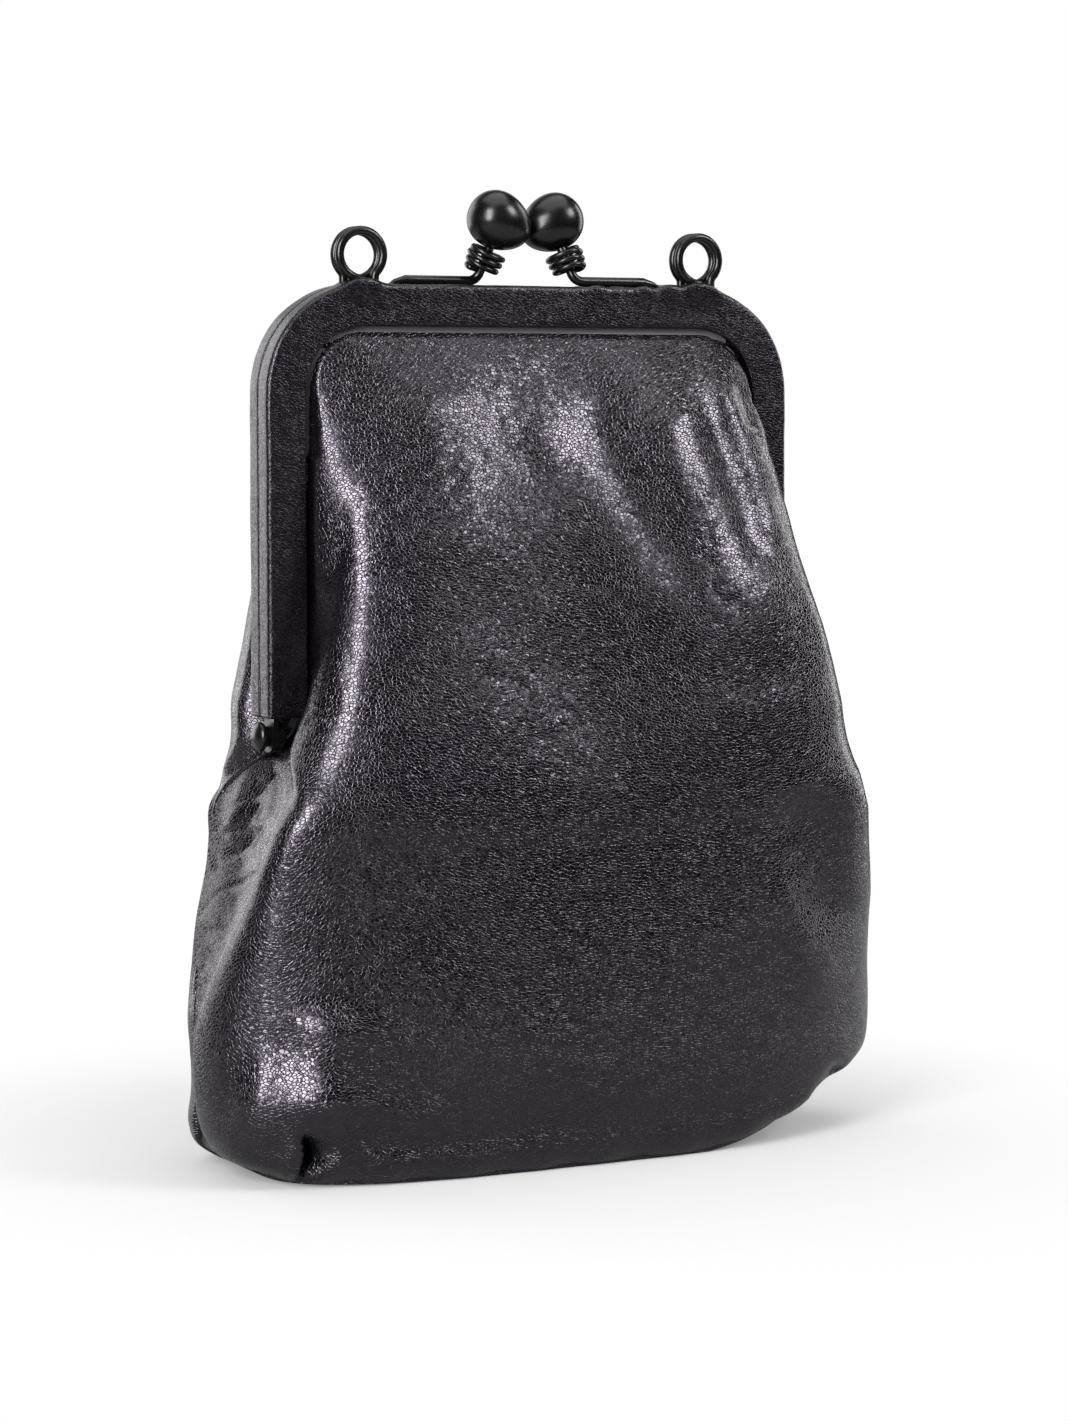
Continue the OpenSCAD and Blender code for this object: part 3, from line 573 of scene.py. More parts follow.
# Its unevenness: size and height of the hills; then the fine wrinkles' size, width, depth and heights
GUSSET_LUMPS = ((14, 0.30), ((6, 6, 3), 0.08))
GUSSET_WRINKLES, GUSSET_WRINKLE_HEIGHTS = ((9, 9, 3.4), 0.2, 0.16), (30, 50)
# Near its top it is smooth, and narrow enough to clear the frame's legs when they swing
SMOOTH_TOP, BY_LEGS, LEG_CLEAR_X, LEG_CLEAR_IN = (76, 82), (79.5, 84), -52.0, 3.2
GUSSET_FOLDS = (
    ([(262, 752), (256, 800), (240, 870), (222, 950)], 2.2, -0.8),
    ([(268, 750), (276, 790), (268, 830)], 1.2, -0.7),
    ([(255, 756), (238, 800), (226, 850)], 2, 0.7),
    ([(262, 800), (240, 826), (222, 836)], 0.8, -0.4),
    ([(268, 822), (244, 848), (220, 860)], 0.8, -0.35),
    ([(276, 770), (262, 790), (246, 800)], 0.8, -0.4),
    ([(256, 870), (240, 884), (222, 888)], 0.9, -0.3),
    ([(206, 1064), (199, 1100), (204, 1140)], 1.6, 0.7),
    ([(193, 1080), (192, 1110), (199, 1146)], 1.2, -0.8),
)


def gusset_points(s, t, seed, turned):
    """The viewer's left gusset, between the two panels' edges and tucked under them."""
    z = (GUSSET_FOOT + t * (GUSSET_TOP - GUSSET_FOOT))[:, None]
    edge_x, edge_y = along(z, BAG, 1), along(z, BAG, 2)
    q = (2 * s - 1)[None, :]
    y = -q * (edge_y + GUSSET_TUCK)
    bow = along(z, GUSSET_SINK, 1) * (1 - q ** 2)
    to_front = (q + 1) / 2
    to_back = to_front if turned else 1 - to_front
    at_rear = GUSSET_UNDER_REAR + (GUSSET_OVER_REAR - GUSSET_UNDER_REAR) * ramp(z, REAR_RISES)
    under = at_rear + (GUSSET_UNDER_FRONT - at_rear) * smooth_step(to_front)
    if turned:
        under = under - along(z, PUFF, 1) * ramp(z, EDGE_PUFFS) * (1 - to_front)
    x = -(edge_x - under - bow - along(z, REAR_NARROW, 1) * ramp(z, EDGE_NARROWS) * to_back)
    points = np.stack(np.broadcast_arrays(x, y, z), -1).copy()
    pixels = seen_at(points)
    relief = sum(crease(pixels, *fold) for fold in GUSSET_FOLDS)
    for k, (size, height) in enumerate(GUSSET_LUMPS):
        relief += height * lumps(points, size, seed + k)
    size, width, depth = GUSSET_WRINKLES
    relief += wrinkles(points, size, seed + 2, width, depth) * ramp(z, GUSSET_WRINKLE_HEIGHTS)
    points[..., 0] -= relief * (1 - q ** 4) * (1 - ramp(z, SMOOTH_TOP))
    high = points[..., 2]
    widest = LEG_CLEAR_X + LEG_CLEAR_IN * ramp(high, BY_LEGS)
    points[..., 0] = np.where(high > BY_LEGS[0], np.maximum(points[..., 0], widest), points[..., 0])
    points[..., 2] += lift(-points[..., 0] if turned else points[..., 0], high)
    return half_turn(points, turned)


def make_gussets():
    for name, turned in (("left", False), ("right", True)):
        piece = sheet(56, 150, lambda s, t: gusset_points(s, t, GUSSET_SEEDS[name], turned), GUSSET_T)
        finish_piece(piece, name + "_gusset_leather", "bag", "bag_leather",
                     (name + "_gusset",), 60)


# How far the base stops short of the corner that lifts, and where that starts
BASE_SHORT, SHORTENS = 7, (30, 60)
# Inset, height and thickness of the base's leather, and of the board over it
BASE_LEATHER, BASE_BOARD = (0.6, 2.0, 1.9), (7.0, 3.8, 1.4)
BASE_HALF_X, BASE_HALF_Y = 62, 27


def base_sheet(columns, rows, inset, z, thickness):
    """A sheet with the outline of the panels' lower edge, with its ends lifted as the bag's are."""
    def shape(s, t):
        front = panel_surface(s, np.array([0, 0.01]), False)[0]
        across = (2 * t - 1)[:, None]
        x = np.broadcast_to(front[:, 0] * (1 - inset / BASE_HALF_X), (len(t), len(s)))
        y = -across * front[:, 1] * (1 - inset / BASE_HALF_Y)
        x = x - BASE_SHORT * ramp(x, SHORTENS)
        return np.stack([x, y, z + lift(x, 0)], -1)
    return sheet(columns, rows, shape, thickness)


def make_base():
    piece = base_sheet(96, 40, *BASE_LEATHER)
    apply_modifier(piece, "BEVEL", width=0.6 * MM, segments=3, limit_method="ANGLE")
    finish_piece(piece, "base_leather", "bag", "bag_leather", ("base_panel",))
    piece = base_sheet(60, 30, *BASE_BOARD)
    finish_piece(piece, "base_stiffener", "bag", "stiff_board", ("base_board",))


# The lower lining: how far in it hangs, its floor, its walls' height at the front and more at the
# sides, the share of its rows that the floor takes, and the squareness of its section
LINING_IN, LINING_FLOOR, LINING_WALL, LINING_SIDES = 5.2, 6, 44, 32
FLOOR_SHARE, LINING_SQUARE = 0.3, 2.3


def lining_points(s, t):
    """A loose cloth cup, higher at the gussets than at the front and back."""
    c, d = np.cos(2 * pi * s), np.sin(2 * pi * s)
    rows = []
    for level in t:
        wall = max(0.0, (level - FLOOR_SHARE) / (1 - FLOOR_SHARE))
        z = LINING_FLOOR + wall * (LINING_WALL + LINING_SIDES * np.abs(c) ** 6 - LINING_FLOOR)
        floor = min(1.0, level / FLOOR_SHARE)
        half_x = along(z, BAG, 1) - along(z, GUSSET_SINK, 1) - LINING_IN - 2 * float(level < 0.8)
        half_y = along(z, BAG, 4) - LINING_IN - 2.5 * ramp(z, (34, 14))
        x = half_x * np.sign(c) * np.abs(c) ** (2 / LINING_SQUARE)
        y = half_y * np.sign(d) * np.abs(d) ** (2 / LINING_SQUARE)
        rows.append(np.stack([x * floor, y * floor, z + lift(x, z) * floor], -1))
    return np.array(rows)


def make_lower_lining():
    piece = sheet(120, 60, lining_points, LINING_T, closed=True)
    finish_piece(piece, "lower_lining", "bag", "lining_cloth", ("lining",), 60)


# The frame's leather cover, swept round the frame: radii of its outer edges and of its lips
EDGE_ROUND, LIP_ROUND = 1.0, 0.45
# Places along the rail of the rings, of the arms' tails and of their pegs
RING_X, ARM_REACH = 37.5, 28.5
PEG_X = (14.0, 25.1)
# Spread and height of the leather pushed up by pegs, by an arm's tail and by a ring's legs
PEG_MOUND, TAIL_MOUND, RING_MOUND = (1.5, 0.3), (2.0, 0.7), (3.9, 1.15)


def polar(radius, angle):
    """A point of a plane, from its distance and its angle in radians."""
    return np.array([cos(angle), sin(angle)]) * radius


def rounded(x, y, radius, start, steps=5):
    """Points of a quarter round about x, y from the angle start on, in degrees."""
    return [(x, y) + polar(radius, radians(start + 90 * k / steps)) for k in range(steps + 1)]


def cover_outline():
    """The cover's outside skin as a section, and the inside of the leather back to the slot."""
    e, l = EDGE_ROUND, LIP_ROUND
    outside = (
        rounded(RAIL_WIDTH - l, FAR_FACE - l, l, 0)
        + [(x, FAR_FACE) for x in np.linspace(RAIL_WIDTH - 1.2, e + 0.5, 7)]
        + rounded(e, FAR_FACE - e, e, 90)
        + [(0, y) for y in (2.9, 2.1, 1.3)]
        + rounded(l, NEAR_FACE + l, l, 180)
        + [(x, NEAR_FACE) for x in (2, 4, 6)]
        + rounded(RAIL_WIDTH - l, NEAR_FACE + l, l, 270)
    )
    slot_near, slot_far = NEAR_FACE + COVER_T, FAR_FACE - COVER_T
    inside = [(RAIL_WIDTH, slot_near), (4, slot_near), (COVER_T, slot_near),
              (COVER_T, HALF_MIDDLE), (COVER_T, slot_far), (4, slot_far), (RAIL_WIDTH, slot_far)]
    return np.array(outside), np.array(inside)


def frame_line(steps=(74, 26, 84)):
    """Stations along the frame from the left foot to the right: a centre, and the way out from it."""
    leg, corner, rail = steps
    stations = []
    for z in np.linspace(FOOT_Z + 0.9, CORNER_Z, leg + 1)[:-1]:
        stations.append(((-CORNER_X, z), (-1, 0)))
    for a in np.radians(np.linspace(180, 90, corner + 1))[:-1]:
        stations.append(((-CORNER_X, CORNER_Z), (cos(a), sin(a))))
    for x in np.linspace(-CORNER_X, CORNER_X, rail + 1):
        stations.append(((x, CORNER_Z), (0, 1)))
    mirrored = [((-c[0], c[1]), (-o[0], o[1])) for c, o in reversed(stations[:leg + corner])]
    return stations + mirrored


def cover_relief(x, z, y, front):
    """Leather pushed up round the rings' legs and the clasp arms' pegs, and slightly uneven."""
    points = np.stack([x, y, z], -1)
    rise = 0.10 * lumps(points, 9, 41) + 0.05 * lumps(points, 3.2, 43)
    on_top = ramp(z, (FRAME_TOP - 4.5, FRAME_TOP - 0.5))
    sign = 1 if front else -1
    mounds = [(sign * p, *PEG_MOUND) for p in PEG_X] + [(sign * (ARM_REACH + 2.2), *TAIL_MOUND)]
    if front:
        mounds += [(side * RING_X, *RING_MOUND) for side in (-1, 1)]
    for place, wide, high in mounds:
        rise = rise + high * np.exp(-((np.abs(x - place) / wide) ** 3)) * on_top
    return rise


def cover_rows(front):
    """The cover's section at each station along the frame, as rows of points."""
    outside, inside = cover_outline()
    loop = np.concatenate([outside, inside, outside[:1]])
    skin = np.ones(len(loop))
    skin[len(outside):-1] = 0
    rows = []
    for (cx, cz), (ox, oz) in frame_line():
        out = CORNER_RADIUS - loop[:, 0]
        x, z, y = cx + out * ox, cz + out * oz, loop[:, 1]
        rise = cover_relief(x, z, -y, front) * skin
        shove = rise * (loop[:, 0] < 2.5)
        lean = rise * (loop[:, 1] > FAR_FACE - 1) * 0.7
        rows.append(np.stack([x + ox * shove, -(y + lean), z + oz * shove], -1))
    return np.array(rows)[:, ::-1]


FOOT_PLATE = (RAIL_WIDTH - 0.1, 4.5, 1.0)


def foot_plates():
    """The folded leather that closes each leg's foot."""
    plates = []
    for side in (-1, 1):
        deselect()
        middle = (side * (FRAME_HALF - RAIL_WIDTH / 2) * MM, -HALF_MIDDLE * MM, (FOOT_Z + 0.5) * MM)
        bpy.ops.mesh.primitive_cube_add(size=1, location=middle)
        bpy.ops.transform.resize(value=Vector(FOOT_PLATE) * MM)
        bpy.ops.object.transform_apply(location=True, scale=True)
        plates.append(bpy.context.object)
        apply_modifier(plates[-1], "BEVEL", width=0.42 * MM, segments=3)
    return plates


def join(pieces):
    deselect()
    for piece in pieces:
        piece.select_set(True)
    bpy.context.view_layer.objects.active = pieces[0]
    bpy.ops.object.join()
    return pieces[0]


def turn_half_round(piece, turned):
    """Turns a mesh half round the upright axis, or leaves it as it is."""
    if turned:
        piece.data.transform(Matrix.Rotation(pi, 4, "Z"))
    return piece


def make_covers():
    for name, half, turned in HALVES:
        rows = cover_rows(not turned)
        piece = grid_piece(rows.shape[1] - 1, rows.shape[0] - 1, lambda s, t: rows, closed=True)
        choose(piece)
        bpy.ops.object.mode_set(mode="EDIT")
        bpy.ops.mesh.select_all(action="DESELECT")
        bpy.ops.mesh.select_mode(type="EDGE")
        bpy.ops.mesh.select_non_manifold()
        bpy.ops.mesh.fill()
        piece = turn_half_round(join([clean_mesh(piece, outward=True)] + foot_plates()), turned)
        finish_piece(piece, name + "_frame_leather", half, "frame_leather",
                     (name + "_frame_cover",), 35)


# The clasp, in the front half's own right hand place; the rear one is turned half round
BALL_LENGTH, BALL_WIDTH, BALL_TAPER = 13.4, 11.3, 0.14
BALL_TILT = radians(27)
BALL_CROSS, BALL_CLEARANCE, BALL_RISE = 1.6, 0.3, 12.5
ROD_D, NECK_BEND, NECK_LEAN = 1.9, 2.2, radians(15)
BAR_Z = FRAME_TOP + ROD_D / 2 + 0.05
BALL_Z = FRAME_TOP + BALL_RISE


def egg_radius(a):
    return BALL_WIDTH / 2 * sin(a) * (1 + BALL_TAPER * cos(a))


EGG_REACH = max(-BALL_LENGTH / 2 * cos(a) * cos(BALL_TILT) + egg_radius(a) * sin(BALL_TILT)
                for a in np.linspace(0, pi, 181))
BALL_X = EGG_REACH + BALL_CLEARANCE / 2
LEAN_Y = atan2(HALF_MIDDLE + BALL_CROSS, BALL_Z - BAR_Z)
NECK_HEIGHT = hypot(HALF_MIDDLE + BALL_CROSS, BALL_Z - BAR_Z)
BEND_TURN = pi / 2 - NECK_LEAN
NECK_TOP = NECK_HEIGHT - NECK_BEND * (1 - cos(BEND_TURN))
BAR_END_X = BALL_X + NECK_TOP * tan(NECK_LEAN) + NECK_BEND * sin(BEND_TURN)
# From the bar's own frame, in which the arm stands upright, to the place on the rail
TO_BAR = Matrix.Translation((0, -HALF_MIDDLE, BAR_Z)) @ Matrix.Rotation(-LEAN_Y, 4, "X")
TO_BALL = TO_BAR @ Matrix.Translation((BALL_X, 0, NECK_HEIGHT)) @ Matrix.Rotation(-NECK_LEAN, 4, "Y")


def wire(path, diameter, sides):
    """A round wire along points in millimetres, as a closed mesh."""
    curve = bpy.data.curves.new("wire", "CURVE")
    curve.dimensions = "3D"
    curve.bevel_depth = diameter / 2 * MM
    curve.bevel_resolution = (sides - 4) // 2
    curve.use_fill_caps = True
    curve.twist_mode = "MINIMUM"
    spline = curve.splines.new("POLY")
    spline.points.add(len(path) - 1)
    for point, p in zip(spline.points, path):
        point.co = (p[0] * MM, p[1] * MM, p[2] * MM, 1)
    put("wire", curve)
    bpy.ops.object.convert(target="MESH")
    return clean_mesh(bpy.context.object, merge=0.002, outward=True)


def arm_path():
    """The bar from its tail to the bend, the bend, and the neck up into the ball."""
    bar = [Vector((x, 0, 0)) for x in np.linspace(ARM_REACH - 0.9, BAR_END_X, 8)]
    bend = [Vector((BAR_END_X - NECK_BEND * sin(a), 0, NECK_BEND * (1 - cos(a))))
            for a in np.linspace(0, BEND_TURN, 11)[1:]]
    path = [TO_BAR @ p for p in bar + bend]
    top = TO_BALL @ Vector((0, 0, -BALL_WIDTH / 2 + 2))
    neck = [path[-1].lerp(top, k) for k in (0.25, 0.5, 0.75, 1)]
    return path + neck


def clasp_arm():
    """The bent rod, flattened at its tail, and its two pegs."""
    path = arm_path()
    tail = [path[0] + Vector((d, 0, dz)) for d, dz in ((1.6, -0.62), (0.9, -0.3), (0.4, -0.1))]
    piece = wire(tail + path, ROD_D, 18)
    floor = BAR_Z - ROD_D / 2
    for vertex in piece.data.vertices:
        x, _, z = vertex.co / MM
        over = x - (ARM_REACH - 1.9)
        if over > 0:
            vertex.co.z = (floor + (z - floor) * max(0.12, 1 - over / 2.6)) * MM
    pegs = []
    for x in PEG_X:
        deselect()
        place = Vector((x, -HALF_MIDDLE, BAR_Z - 1.25)) * MM
        bpy.ops.mesh.primitive_cylinder_add(vertices=20, radius=0.6 * MM, depth=2.4 * MM, location=place)
        bpy.ops.object.transform_apply(location=True)
        pegs.append(bpy.context.object)
    return join([piece] + pegs)


def clasp_ball():
    """An egg: a sphere drawn out, narrowed to one end and tilted."""
    deselect()
    bpy.ops.mesh.primitive_uv_sphere_add(segments=64, ring_count=40, radius=1)
    piece = bpy.context.object
    place = Matrix.Translation((BALL_X, BALL_CROSS, BALL_Z))
    place = place @ Matrix.Rotation(-pi / 2 - BALL_TILT, 4, "Y")
    for vertex in piece.data.vertices:
        x, y, z = vertex.co
        width = BALL_WIDTH / 2 * (1 - BALL_TAPER * z)
        vertex.co = place @ Vector((x * width, y * width, z * BALL_LENGTH / 2)) * MM
    return piece


COLLAR_WIRE, COLLAR_R, COLLAR_TURNS, COLLAR_GAP, STEPS_A_TURN = 1.15, 3.3, 3, 0.20, 40
NECK_D = ROD_D - 0.1
COLLAR_FOOT_R = NECK_D / 2 + 1.05 * COLLAR_WIRE + 0.7


def spoke(radius, angle, z, bend, way):
    """A wound wire's end, which turns in to the neck."""
    middle = radius - bend
    tip = atan2(bend, sqrt(middle ** 2 - bend ** 2))
    turn = pi / 2 + tip
    path = [polar(middle, angle) + polar(bend, angle + way * turn * k / 8) for k in range(1, 9)]
    return [Vector((*p, z)) for p in path + [polar(NECK_D / 2 + 0.03, angle + way * tip)]]


def clasp_collar():
    """Wire wound round the neck in turns that narrow downwards."""
    pitch = COLLAR_WIRE + COLLAR_GAP
    top = -BALL_WIDTH / 2 - COLLAR_WIRE / 2
    turns = []
    for t in np.linspace(0, COLLAR_TURNS, COLLAR_TURNS * STEPS_A_TURN + 1):
        r = COLLAR_FOOT_R + (COLLAR_R - COLLAR_FOOT_R) * (1 - (t / COLLAR_TURNS) ** 2)
        turns.append(Vector((*polar(r, 2 * pi * t), top - pitch * t)))
    first = spoke(COLLAR_R, 0, top, 0.9, -1)[::-1]
    last = spoke(COLLAR_FOOT_R, 2 * pi * COLLAR_TURNS, top - pitch * COLLAR_TURNS, 0.55, 1)
    return wire([TO_BALL @ p for p in first + turns + last], COLLAR_WIRE, 12)


RING_WIRE, RING_R, RING_GAP = 1.75, 4.6, 0.45
RING_PITCH = RING_WIRE + RING_GAP
RING_Z = FRAME_TOP + 0.1 + RING_WIRE / 2 + RING_R
JOIN_ANGLE, LEG_BEND = radians(45), 1.5
# Angles of the ring's wire, in degrees, and those over which it steps across to its second turn
RING_FROM, RING_TO, RING_STEP, STEPS_ACROSS = -45, 586, 9, (240, 300)


def strap_ring(x):
    """One wire: up out of the rail, twice round with a step across, and down again."""
    leg_x = RING_R * cos(JOIN_ANGLE) - LEG_BEND * (1 - cos(JOIN_ANGLE))
    leg_top = -(RING_R + LEG_BEND) * sin(JOIN_ANGLE)

    def leg(side):
        bends = [(leg_x + LEG_BEND * (1 - cos(b)), leg_top + LEG_BEND * sin(b))
                 for b in (JOIN_ANGLE * k / 7 for k in range(7))]
        return [(side * a, -side * RING_PITCH / 2, z) for a, z in [(leg_x, -RING_R - 2.6)] + bends]

    rounds = []
    for degrees in np.arange(RING_FROM, RING_TO, RING_STEP):
        a, z = polar(RING_R, radians(degrees))
        rounds.append((a, RING_PITCH * (ramp(degrees, STEPS_ACROSS) - 0.5), z))
    path = leg(1) + rounds + leg(-1)[::-1]
    return wire([(x + p[0], -HALF_MIDDLE + p[1], RING_Z + p[2]) for p in path], RING_WIRE, 20)


def turned_piece(outline, segments=48):
    """A round piece about the hinge line on the right: outline holds X and radius."""
    mesh = bpy.data.meshes.new("turned")
    mesh.from_pydata([(x * MM, r * MM, HINGE_Z * MM) for x, r in outline],
                     [(i, i + 1) for i in range(len(outline) - 1)], [])
    piece = put("turned", mesh)
    bpy.ops.object.mode_set(mode="EDIT")
    bpy.ops.mesh.select_all(action="SELECT")
    bpy.ops.mesh.spin(steps=segments, angle=2 * pi, center=(0, 0, HINGE_Z * MM), axis=(1, 0, 0))
    return clean_mesh(piece, merge=0.002, outward=True)


# The hinge rivet on the right: X of its parts, radius of its tail, shank and head, and its dome
TAIL_X, TAIL_END, SHANK_END, HEAD_X = 52.75, 53.85, 56.35, 57.3
TAIL_R, SHANK_R, HEAD_R, HEAD_H, HEAD_RIM = 2.0, 1.2, 2.8, 1.9, 0.5


def hinge_rivet(left):
    """Tail, shank through both lugs, shoulder and domed head."""
    dome = [(HEAD_X + HEAD_RIM + (HEAD_H - HEAD_RIM) * sin(a), HEAD_R * cos(a))
            for a in np.linspace(0, pi / 2, 12)]
    tail = [(TAIL_X + 0.35 * (1 - cos(a)), TAIL_R * sin(a))
            for a in np.linspace(0, pi / 2, 6)]
    outline = tail + [
        (TAIL_END, TAIL_R), (TAIL_END + 0.01, SHANK_R), (SHANK_END - 0.01, SHANK_R),
        (SHANK_END, TAIL_R), (HEAD_X, TAIL_R), (HEAD_X + 0.05, HEAD_R - 0.12), (HEAD_X + 0.16, HEAD_R),
    ] + dome
    outline[0] = (outline[0][0], 0)
    outline[-1] = (outline[-1][0], 0)
    return turn_half_round(turned_piece(outline), left)


def make_metal():
    """The clasp, the strap rings and the rivets."""
    for name, half, turned in HALVES:
        for part, build in (("arm", clasp_arm), ("ball", clasp_ball), ("collar", clasp_collar)):
            piece = turn_half_round(build(), turned)
            finish_piece(piece, f"{name}_clasp_{part}_metal", half, "black_metal",
                         (f"{name}_clasp_{part}",))
    for name, x in (("left", -RING_X), ("right", RING_X)):
        finish_piece(strap_ring(x), name + "_ring_wire", "front_half", "black_metal",
                     (name + "_strap_ring",))
        finish_piece(hinge_rivet(name == "left"), name + "_rivet", "bag", "black_metal",
                     (name + "_hinge_rivet",), 35)


class Nodes:
    """The nodes of a material or of the world."""

    def __init__(self, owner):
        owner.use_nodes = True
        self.owner = owner
        self.tree = owner.node_tree

    def add(self, kind, inputs=(), **settings):
        """A new node, with its settings, whose inputs take numbers or other nodes' outputs."""
        node = self.tree.nodes.new("ShaderNode" + kind)
        for key, value in settings.items():
            setattr(node, key, value)
        self.feed(node, inputs)
        return node.outputs

    def feed(self, node, inputs):
        for key, value in inputs.items() if isinstance(inputs, dict) else enumerate(inputs):
            if isinstance(value, bpy.types.NodeSocket):
                self.tree.links.new(value, node.inputs[key])
            else:
                node.inputs[key].default_value = value

    def finish(self, inputs):
        """Feeds the material's own shader, and gives the material."""
        self.feed(self.tree.nodes["Principled BSDF"], inputs)
        return self.owner

    def noise(self, scale, detail=3, roughness=0.5, distortion=0, vector=None):
        return self.add("TexNoise", {
            "Vector": vector or self.place, "Scale": scale, "Detail": detail,
            "Roughness": roughness, "Distortion": distortion})["Fac"]

    def remap(self, value, low, high, to_low, to_high):
        return self.add("MapRange", {
            "Value": value, "From Min": low, "From Max": high, "To Min": to_low, "To Max": to_high,
        }, interpolation_type="SMOOTHSTEP")["Result"]

    def math(self, operation, a, b=0):
        return self.add("Math", (a, b), operation=operation)[0]

    def vector(self, operation, *inputs):
        return self.add("VectorMath", inputs, operation=operation)

    def stretched(self, scale, wobble=0, wobble_scale=100):
        """Object coordinates stretched by scale, and pushed about by noise."""
        mapped = self.add("Mapping", {"Vector": self.place, "Scale": scale})["Vector"]
        if not wobble:
            return mapped
        push = self.add("TexNoise", {"Vector": self.place, "Scale": wobble_scale, "Detail": 2})["Color"]
        return self.vector("MULTIPLY_ADD", push, (wobble, wobble, wobble), mapped)["Vector"]

    def to_edge(self, scale, vector):
        """Distance to the nearest edge between cells."""
        cell = self.add("TexVoronoi", {"Vector": vector, "Scale": scale}, feature="DISTANCE_TO_EDGE")
        return cell["Distance"]

    def tilted(self, scale, vector):
        """Height that makes each cell lean its own way."""
        cell = self.add("TexVoronoi", {"Vector": vector, "Scale": scale}, feature="F1")
        lean = self.vector("SUBTRACT", cell["Color"], (0.5, 0.5, 0.5))["Vector"]
        away = self.vector("SUBTRACT", vector, cell["Position"])["Vector"]
        return self.vector("DOT_PRODUCT", lean, away)["Value"]

    def tint(self, factor, dark, light):
        return self.add("Mix", {"Factor": factor, "A": (*dark, 1), "B": (*light, 1)},
                        data_type="RGBA")["Result"]

    def bump(self, height, distance, strength=1.0, **normal):
        return self.add("Bump", {
            "Height": height, "Distance": distance, "Strength": strength, **normal})["Normal"]


def start_material(name):
    """A new material's nodes, with its Object coordinates."""
    n = Nodes(bpy.data.materials.new(name))
    n.place = n.add("TexCoord")["Object"]
    return n


LEATHER_DARK, LEATHER_LIGHT = (0.0008, 0.0005, 0.0012), (0.0028, 0.0019, 0.0037)
LEATHER_TINT = (1.0, 0.90, 1.05, 1)


def leather_material(name, grain, grain_height, lean, roughness, swell, shine, mottle):
    """Glazed pebbled leather: flat grains between fine furrows with painted shade in them, mottled colour
    and gloss.
    """
    n = start_material(name)
    grain_place = n.stretched((0.95, 0.95, 1.3), 0.0016, 260)
    furrow = n.remap(n.to_edge(grain, grain_place), 0.0, 0.15, 0.0, 1.0)
    worn = n.noise(60, 4, 0.6)
    patch = n.noise(24, 5, 0.55)
    scuffs = n.math("ABSOLUTE", n.math("SUBTRACT", n.noise(150, 6, 0.62, 1.2), 0.5))
    scuffs = n.remap(scuffs, 0.0, 0.022, 1, 0)
    tone = n.math("ADD", n.remap(patch, 0.35, 0.68, 0.0, 0.75), n.math("MULTIPLY", scuffs, 0.16 * mottle))
    # The colour is painted darker in the grain's furrows: painted shade in the hollows.
    tone = n.math("MULTIPLY", tone, n.remap(furrow, 0.0, 1.0, 0.3, 1.0))
    gloss = n.remap(worn, 0.32, 0.68, roughness - 0.05 * mottle, roughness + 0.06 * mottle)
    height = n.math("ADD", furrow, n.math("MULTIPLY", n.noise(700, 2, 0.5), 0.15))
    coarse = n.bump(n.noise(130, 2, 0.5), swell, 0.5)
    leaning = n.bump(n.math("MULTIPLY", n.tilted(grain, grain_place), 1000), 0.001 * lean, Normal=coarse)
    return n.finish({
        "Base Color": n.tint(tone, LEATHER_DARK, LEATHER_LIGHT),
        "Roughness": n.math("ADD", gloss, n.remap(furrow, 0.0, 1.0, 0.08, 0.0)),
        "Normal": n.bump(height, grain_height, Normal=leaning),
        "Specular Tint": LEATHER_TINT,
        "Specular IOR Level": shine,
    })


def black_metal_material():
    """Black plating with a soft gloss."""
    n = start_material("black_metal")
    tone = n.remap(n.noise(160, 4, 0.6), 0.35, 0.65, 0.0, 1.0)
    return n.finish({
        "Base Color": n.tint(tone, (0.0012, 0.0012, 0.0013), (0.0028, 0.0028, 0.0030)),
        "Roughness": n.remap(n.noise(420, 4, 0.6), 0.3, 0.7, 0.25, 0.31),
        "Normal": n.bump(n.noise(500, 2, 0.5), 0.000012, 0.5),
        "Specular IOR Level": 0.30,
    })


def steel_material():
    """Plain rolled steel, brushed across."""
    n = start_material("channel_steel")
    brushed = n.noise(300, 5, 0.6, 0, n.stretched((1, 12, 1)))
    return n.finish({
        "Base Color": n.tint(brushed, (0.36, 0.37, 0.38), (0.52, 0.52, 0.53)),
        "Roughness": n.remap(brushed, 0.3, 0.7, 0.28, 0.42),
        "Metallic": 1.0,
    })


THREAD_SPACING = 0.0005


def cloth_material():
    """Plain woven lining: two crossing sets of threads."""
    n = start_material("lining_cloth")
    place = n.add("SeparateXYZ", (n.place,))
    wobble = n.math("MULTIPLY", n.noise(120, 3), 3.0)
    across, upward = (
        n.math("SINE", n.math("ADD", n.math("MULTIPLY", place[axis], 2 * pi / THREAD_SPACING), wobble))
        for axis in ("X", "Z"))
    return n.finish({
        "Base Color": n.tint(n.noise(90, 4), (0.050, 0.047, 0.055), (0.075, 0.070, 0.080)),
        "Roughness": 0.85,
        "Sheen Weight": 0.25,
        "Normal": n.bump(n.math("MULTIPLY", across, upward), 0.00006, 0.6),
    })


def fibre_material(name, dark, light, scale):
    """Pressed fibre: board, or twisted paper cord."""
    n = start_material(name)
    flecks = n.noise(scale, 6, 0.7)
    return n.finish({
        "Base Color": n.tint(flecks, dark, light),
        "Roughness": 0.9,
        "Normal": n.bump(flecks, 0.00008, 0.6),
    })


def finish_cad_nodes():
    """The CAD pieces that stay get their real finish."""
    kept = {"hinge_lugs": "black_metal", "channel": "channel_steel", "channel_cord": "paper_cord"}
    for half in ("front", "rear"):
        for node, slot in kept.items():
            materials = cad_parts[f"{half}_{node}"].data.materials
            materials.clear()
            materials.append(FINISHES[slot])


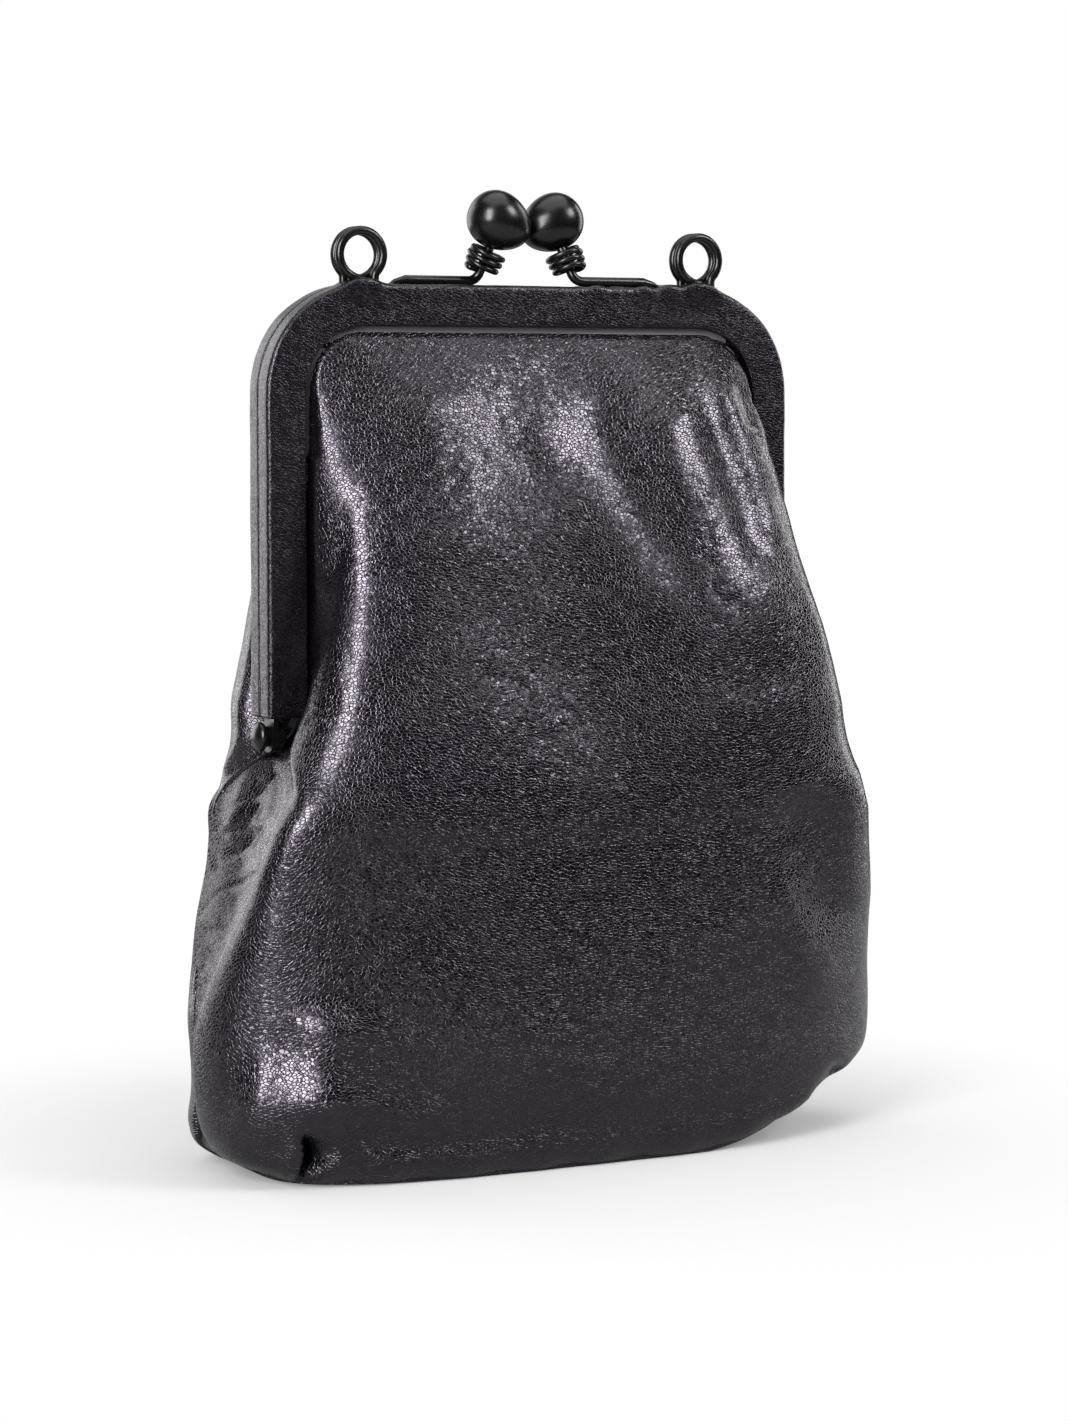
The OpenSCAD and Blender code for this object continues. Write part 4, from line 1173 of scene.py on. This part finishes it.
def make_camera():
    data = bpy.data.cameras.new("photo_camera")
    data.sensor_width = 36
    data.lens = FOCAL_PIXELS / IMAGE_HEIGHT * data.sensor_width
    camera = put("photo_camera", data)
    camera.location = Vector(CAMERA_PLACE) * MM
    camera.rotation_euler = Vector(-BACK).to_track_quat("-Z", "Y").to_euler()
    bpy.context.scene.camera = camera


# Lights: name, azimuth (minus is to the left), elevation and distance, width, height and brightness
AIM = Vector((0, 0, 0.09))
LIGHTS = (
    ("left_box", -53, 20, 1.0, 0.36, 0.70, 28.0),
    ("right_key", 46, 33, 1.0, 0.34, 0.36, 22.0),
    ("right_strip", 102, 14, 1.0, 0.30, 0.80, 5.0),
    ("left_rear", -156, 14, 1.1, 0.70, 0.80, 2.6),
    ("backdrop", 180, 16, 1.8, 3.20, 1.60, 0.8),
    ("overhead", 0, 86, 1.3, 1.50, 1.50, 2.6),
)


def make_lights():
    for name, azimuth, elevation, distance, width, height, brightness in LIGHTS:
        data = bpy.data.lights.new(name, "AREA")
        data.shape = "RECTANGLE"
        data.size, data.size_y = width, height
        data.energy = brightness * pi * width * height
        lamp = put(name, data)
        toward = Vector(direction(radians(azimuth), radians(elevation)))
        lamp.location = AIM + toward * distance
        lamp.rotation_euler = toward.to_track_quat("Z", "Y").to_euler()
        lamp.visible_camera = False


CAMERA_WHITE, AMBIENT, MIRRORED = 1.0, 0.12, 0.005


def make_world():
    """White to the camera, a dim even fill light, and nearly black in reflections."""
    world = bpy.data.worlds.new("studio")
    bpy.context.scene.world = world
    n = Nodes(world)
    rays = n.add("LightPath")
    mirrored = n.add("MapRange", {"Value": rays["Is Glossy Ray"], "To Min": AMBIENT, "To Max": MIRRORED})
    seen = n.add("MapRange", {
        "Value": rays["Is Camera Ray"], "To Min": mirrored["Result"], "To Max": CAMERA_WHITE})
    n.feed(n.tree.nodes["Background"], {"Strength": seen["Result"], "Color": (1, 1, 1, 1)})


FLOOR_COLOUR, FLOOR_GLOW = 0.33, 0.19
FLOOR_NEAR, FLOOR_FAR = 0.05, 0.16
TABLE_SIZE = 0.50


def make_floor():
    """A pale floor that keeps the shadow near the purse and fades into the white behind it."""
    deselect()
    bpy.ops.mesh.primitive_circle_add(vertices=96, radius=TABLE_SIZE, fill_type="NGON")
    floor = bpy.context.object
    floor.name = "floor"
    n = start_material("floor")
    n.tree.nodes.remove(n.tree.nodes["Principled BSDF"])
    by_camera = n.add("LightPath")["Is Camera Ray"]
    far = n.remap(n.vector("LENGTH", n.place)["Value"], FLOOR_NEAR, FLOOR_FAR, 0, 1)
    paint = n.add("BsdfDiffuse", {"Color": (FLOOR_COLOUR, FLOOR_COLOUR, FLOOR_COLOUR, 1)})[0]
    light = n.add("Emission", {"Strength": n.math("MULTIPLY", by_camera, FLOOR_GLOW)})[0]
    pale = n.add("AddShader", (paint, light))[0]
    fade = n.math("MULTIPLY", far, by_camera)
    mixed = n.add("MixShader", (fade, pale, n.add("BsdfTransparent")[0]))[0]
    n.feed(n.tree.nodes["Material Output"], {"Surface": mixed})
    floor.data.materials.append(n.owner)


make_camera()
make_lights()
make_world()
make_floor()
FINISHES = {
    "bag_leather": leather_material("bag_leather", grain=1400, grain_height=0.000034, lean=0.085,
                                    roughness=0.20, swell=0.00022, shine=0.5, mottle=0.8),
    "frame_leather": leather_material("frame_leather", grain=1700, grain_height=0.000018, lean=0.12,
                                      roughness=0.26, swell=0.00004, shine=0.36, mottle=0.2),
    "black_metal": black_metal_material(),
    "lining_cloth": cloth_material(),
    "stiff_board": fibre_material("stiff_board", (0.13, 0.10, 0.07), (0.24, 0.19, 0.14), 800),
    "channel_steel": steel_material(),
    "paper_cord": fibre_material("paper_cord", (0.42, 0.36, 0.26), (0.62, 0.55, 0.42), 1500),
}
make_panels()
make_gussets()
make_base()
make_upper_linings()
make_lower_lining()
make_covers()
make_metal()
finish_cad_nodes()

bpy.context.scene.view_settings.view_transform = "Standard"
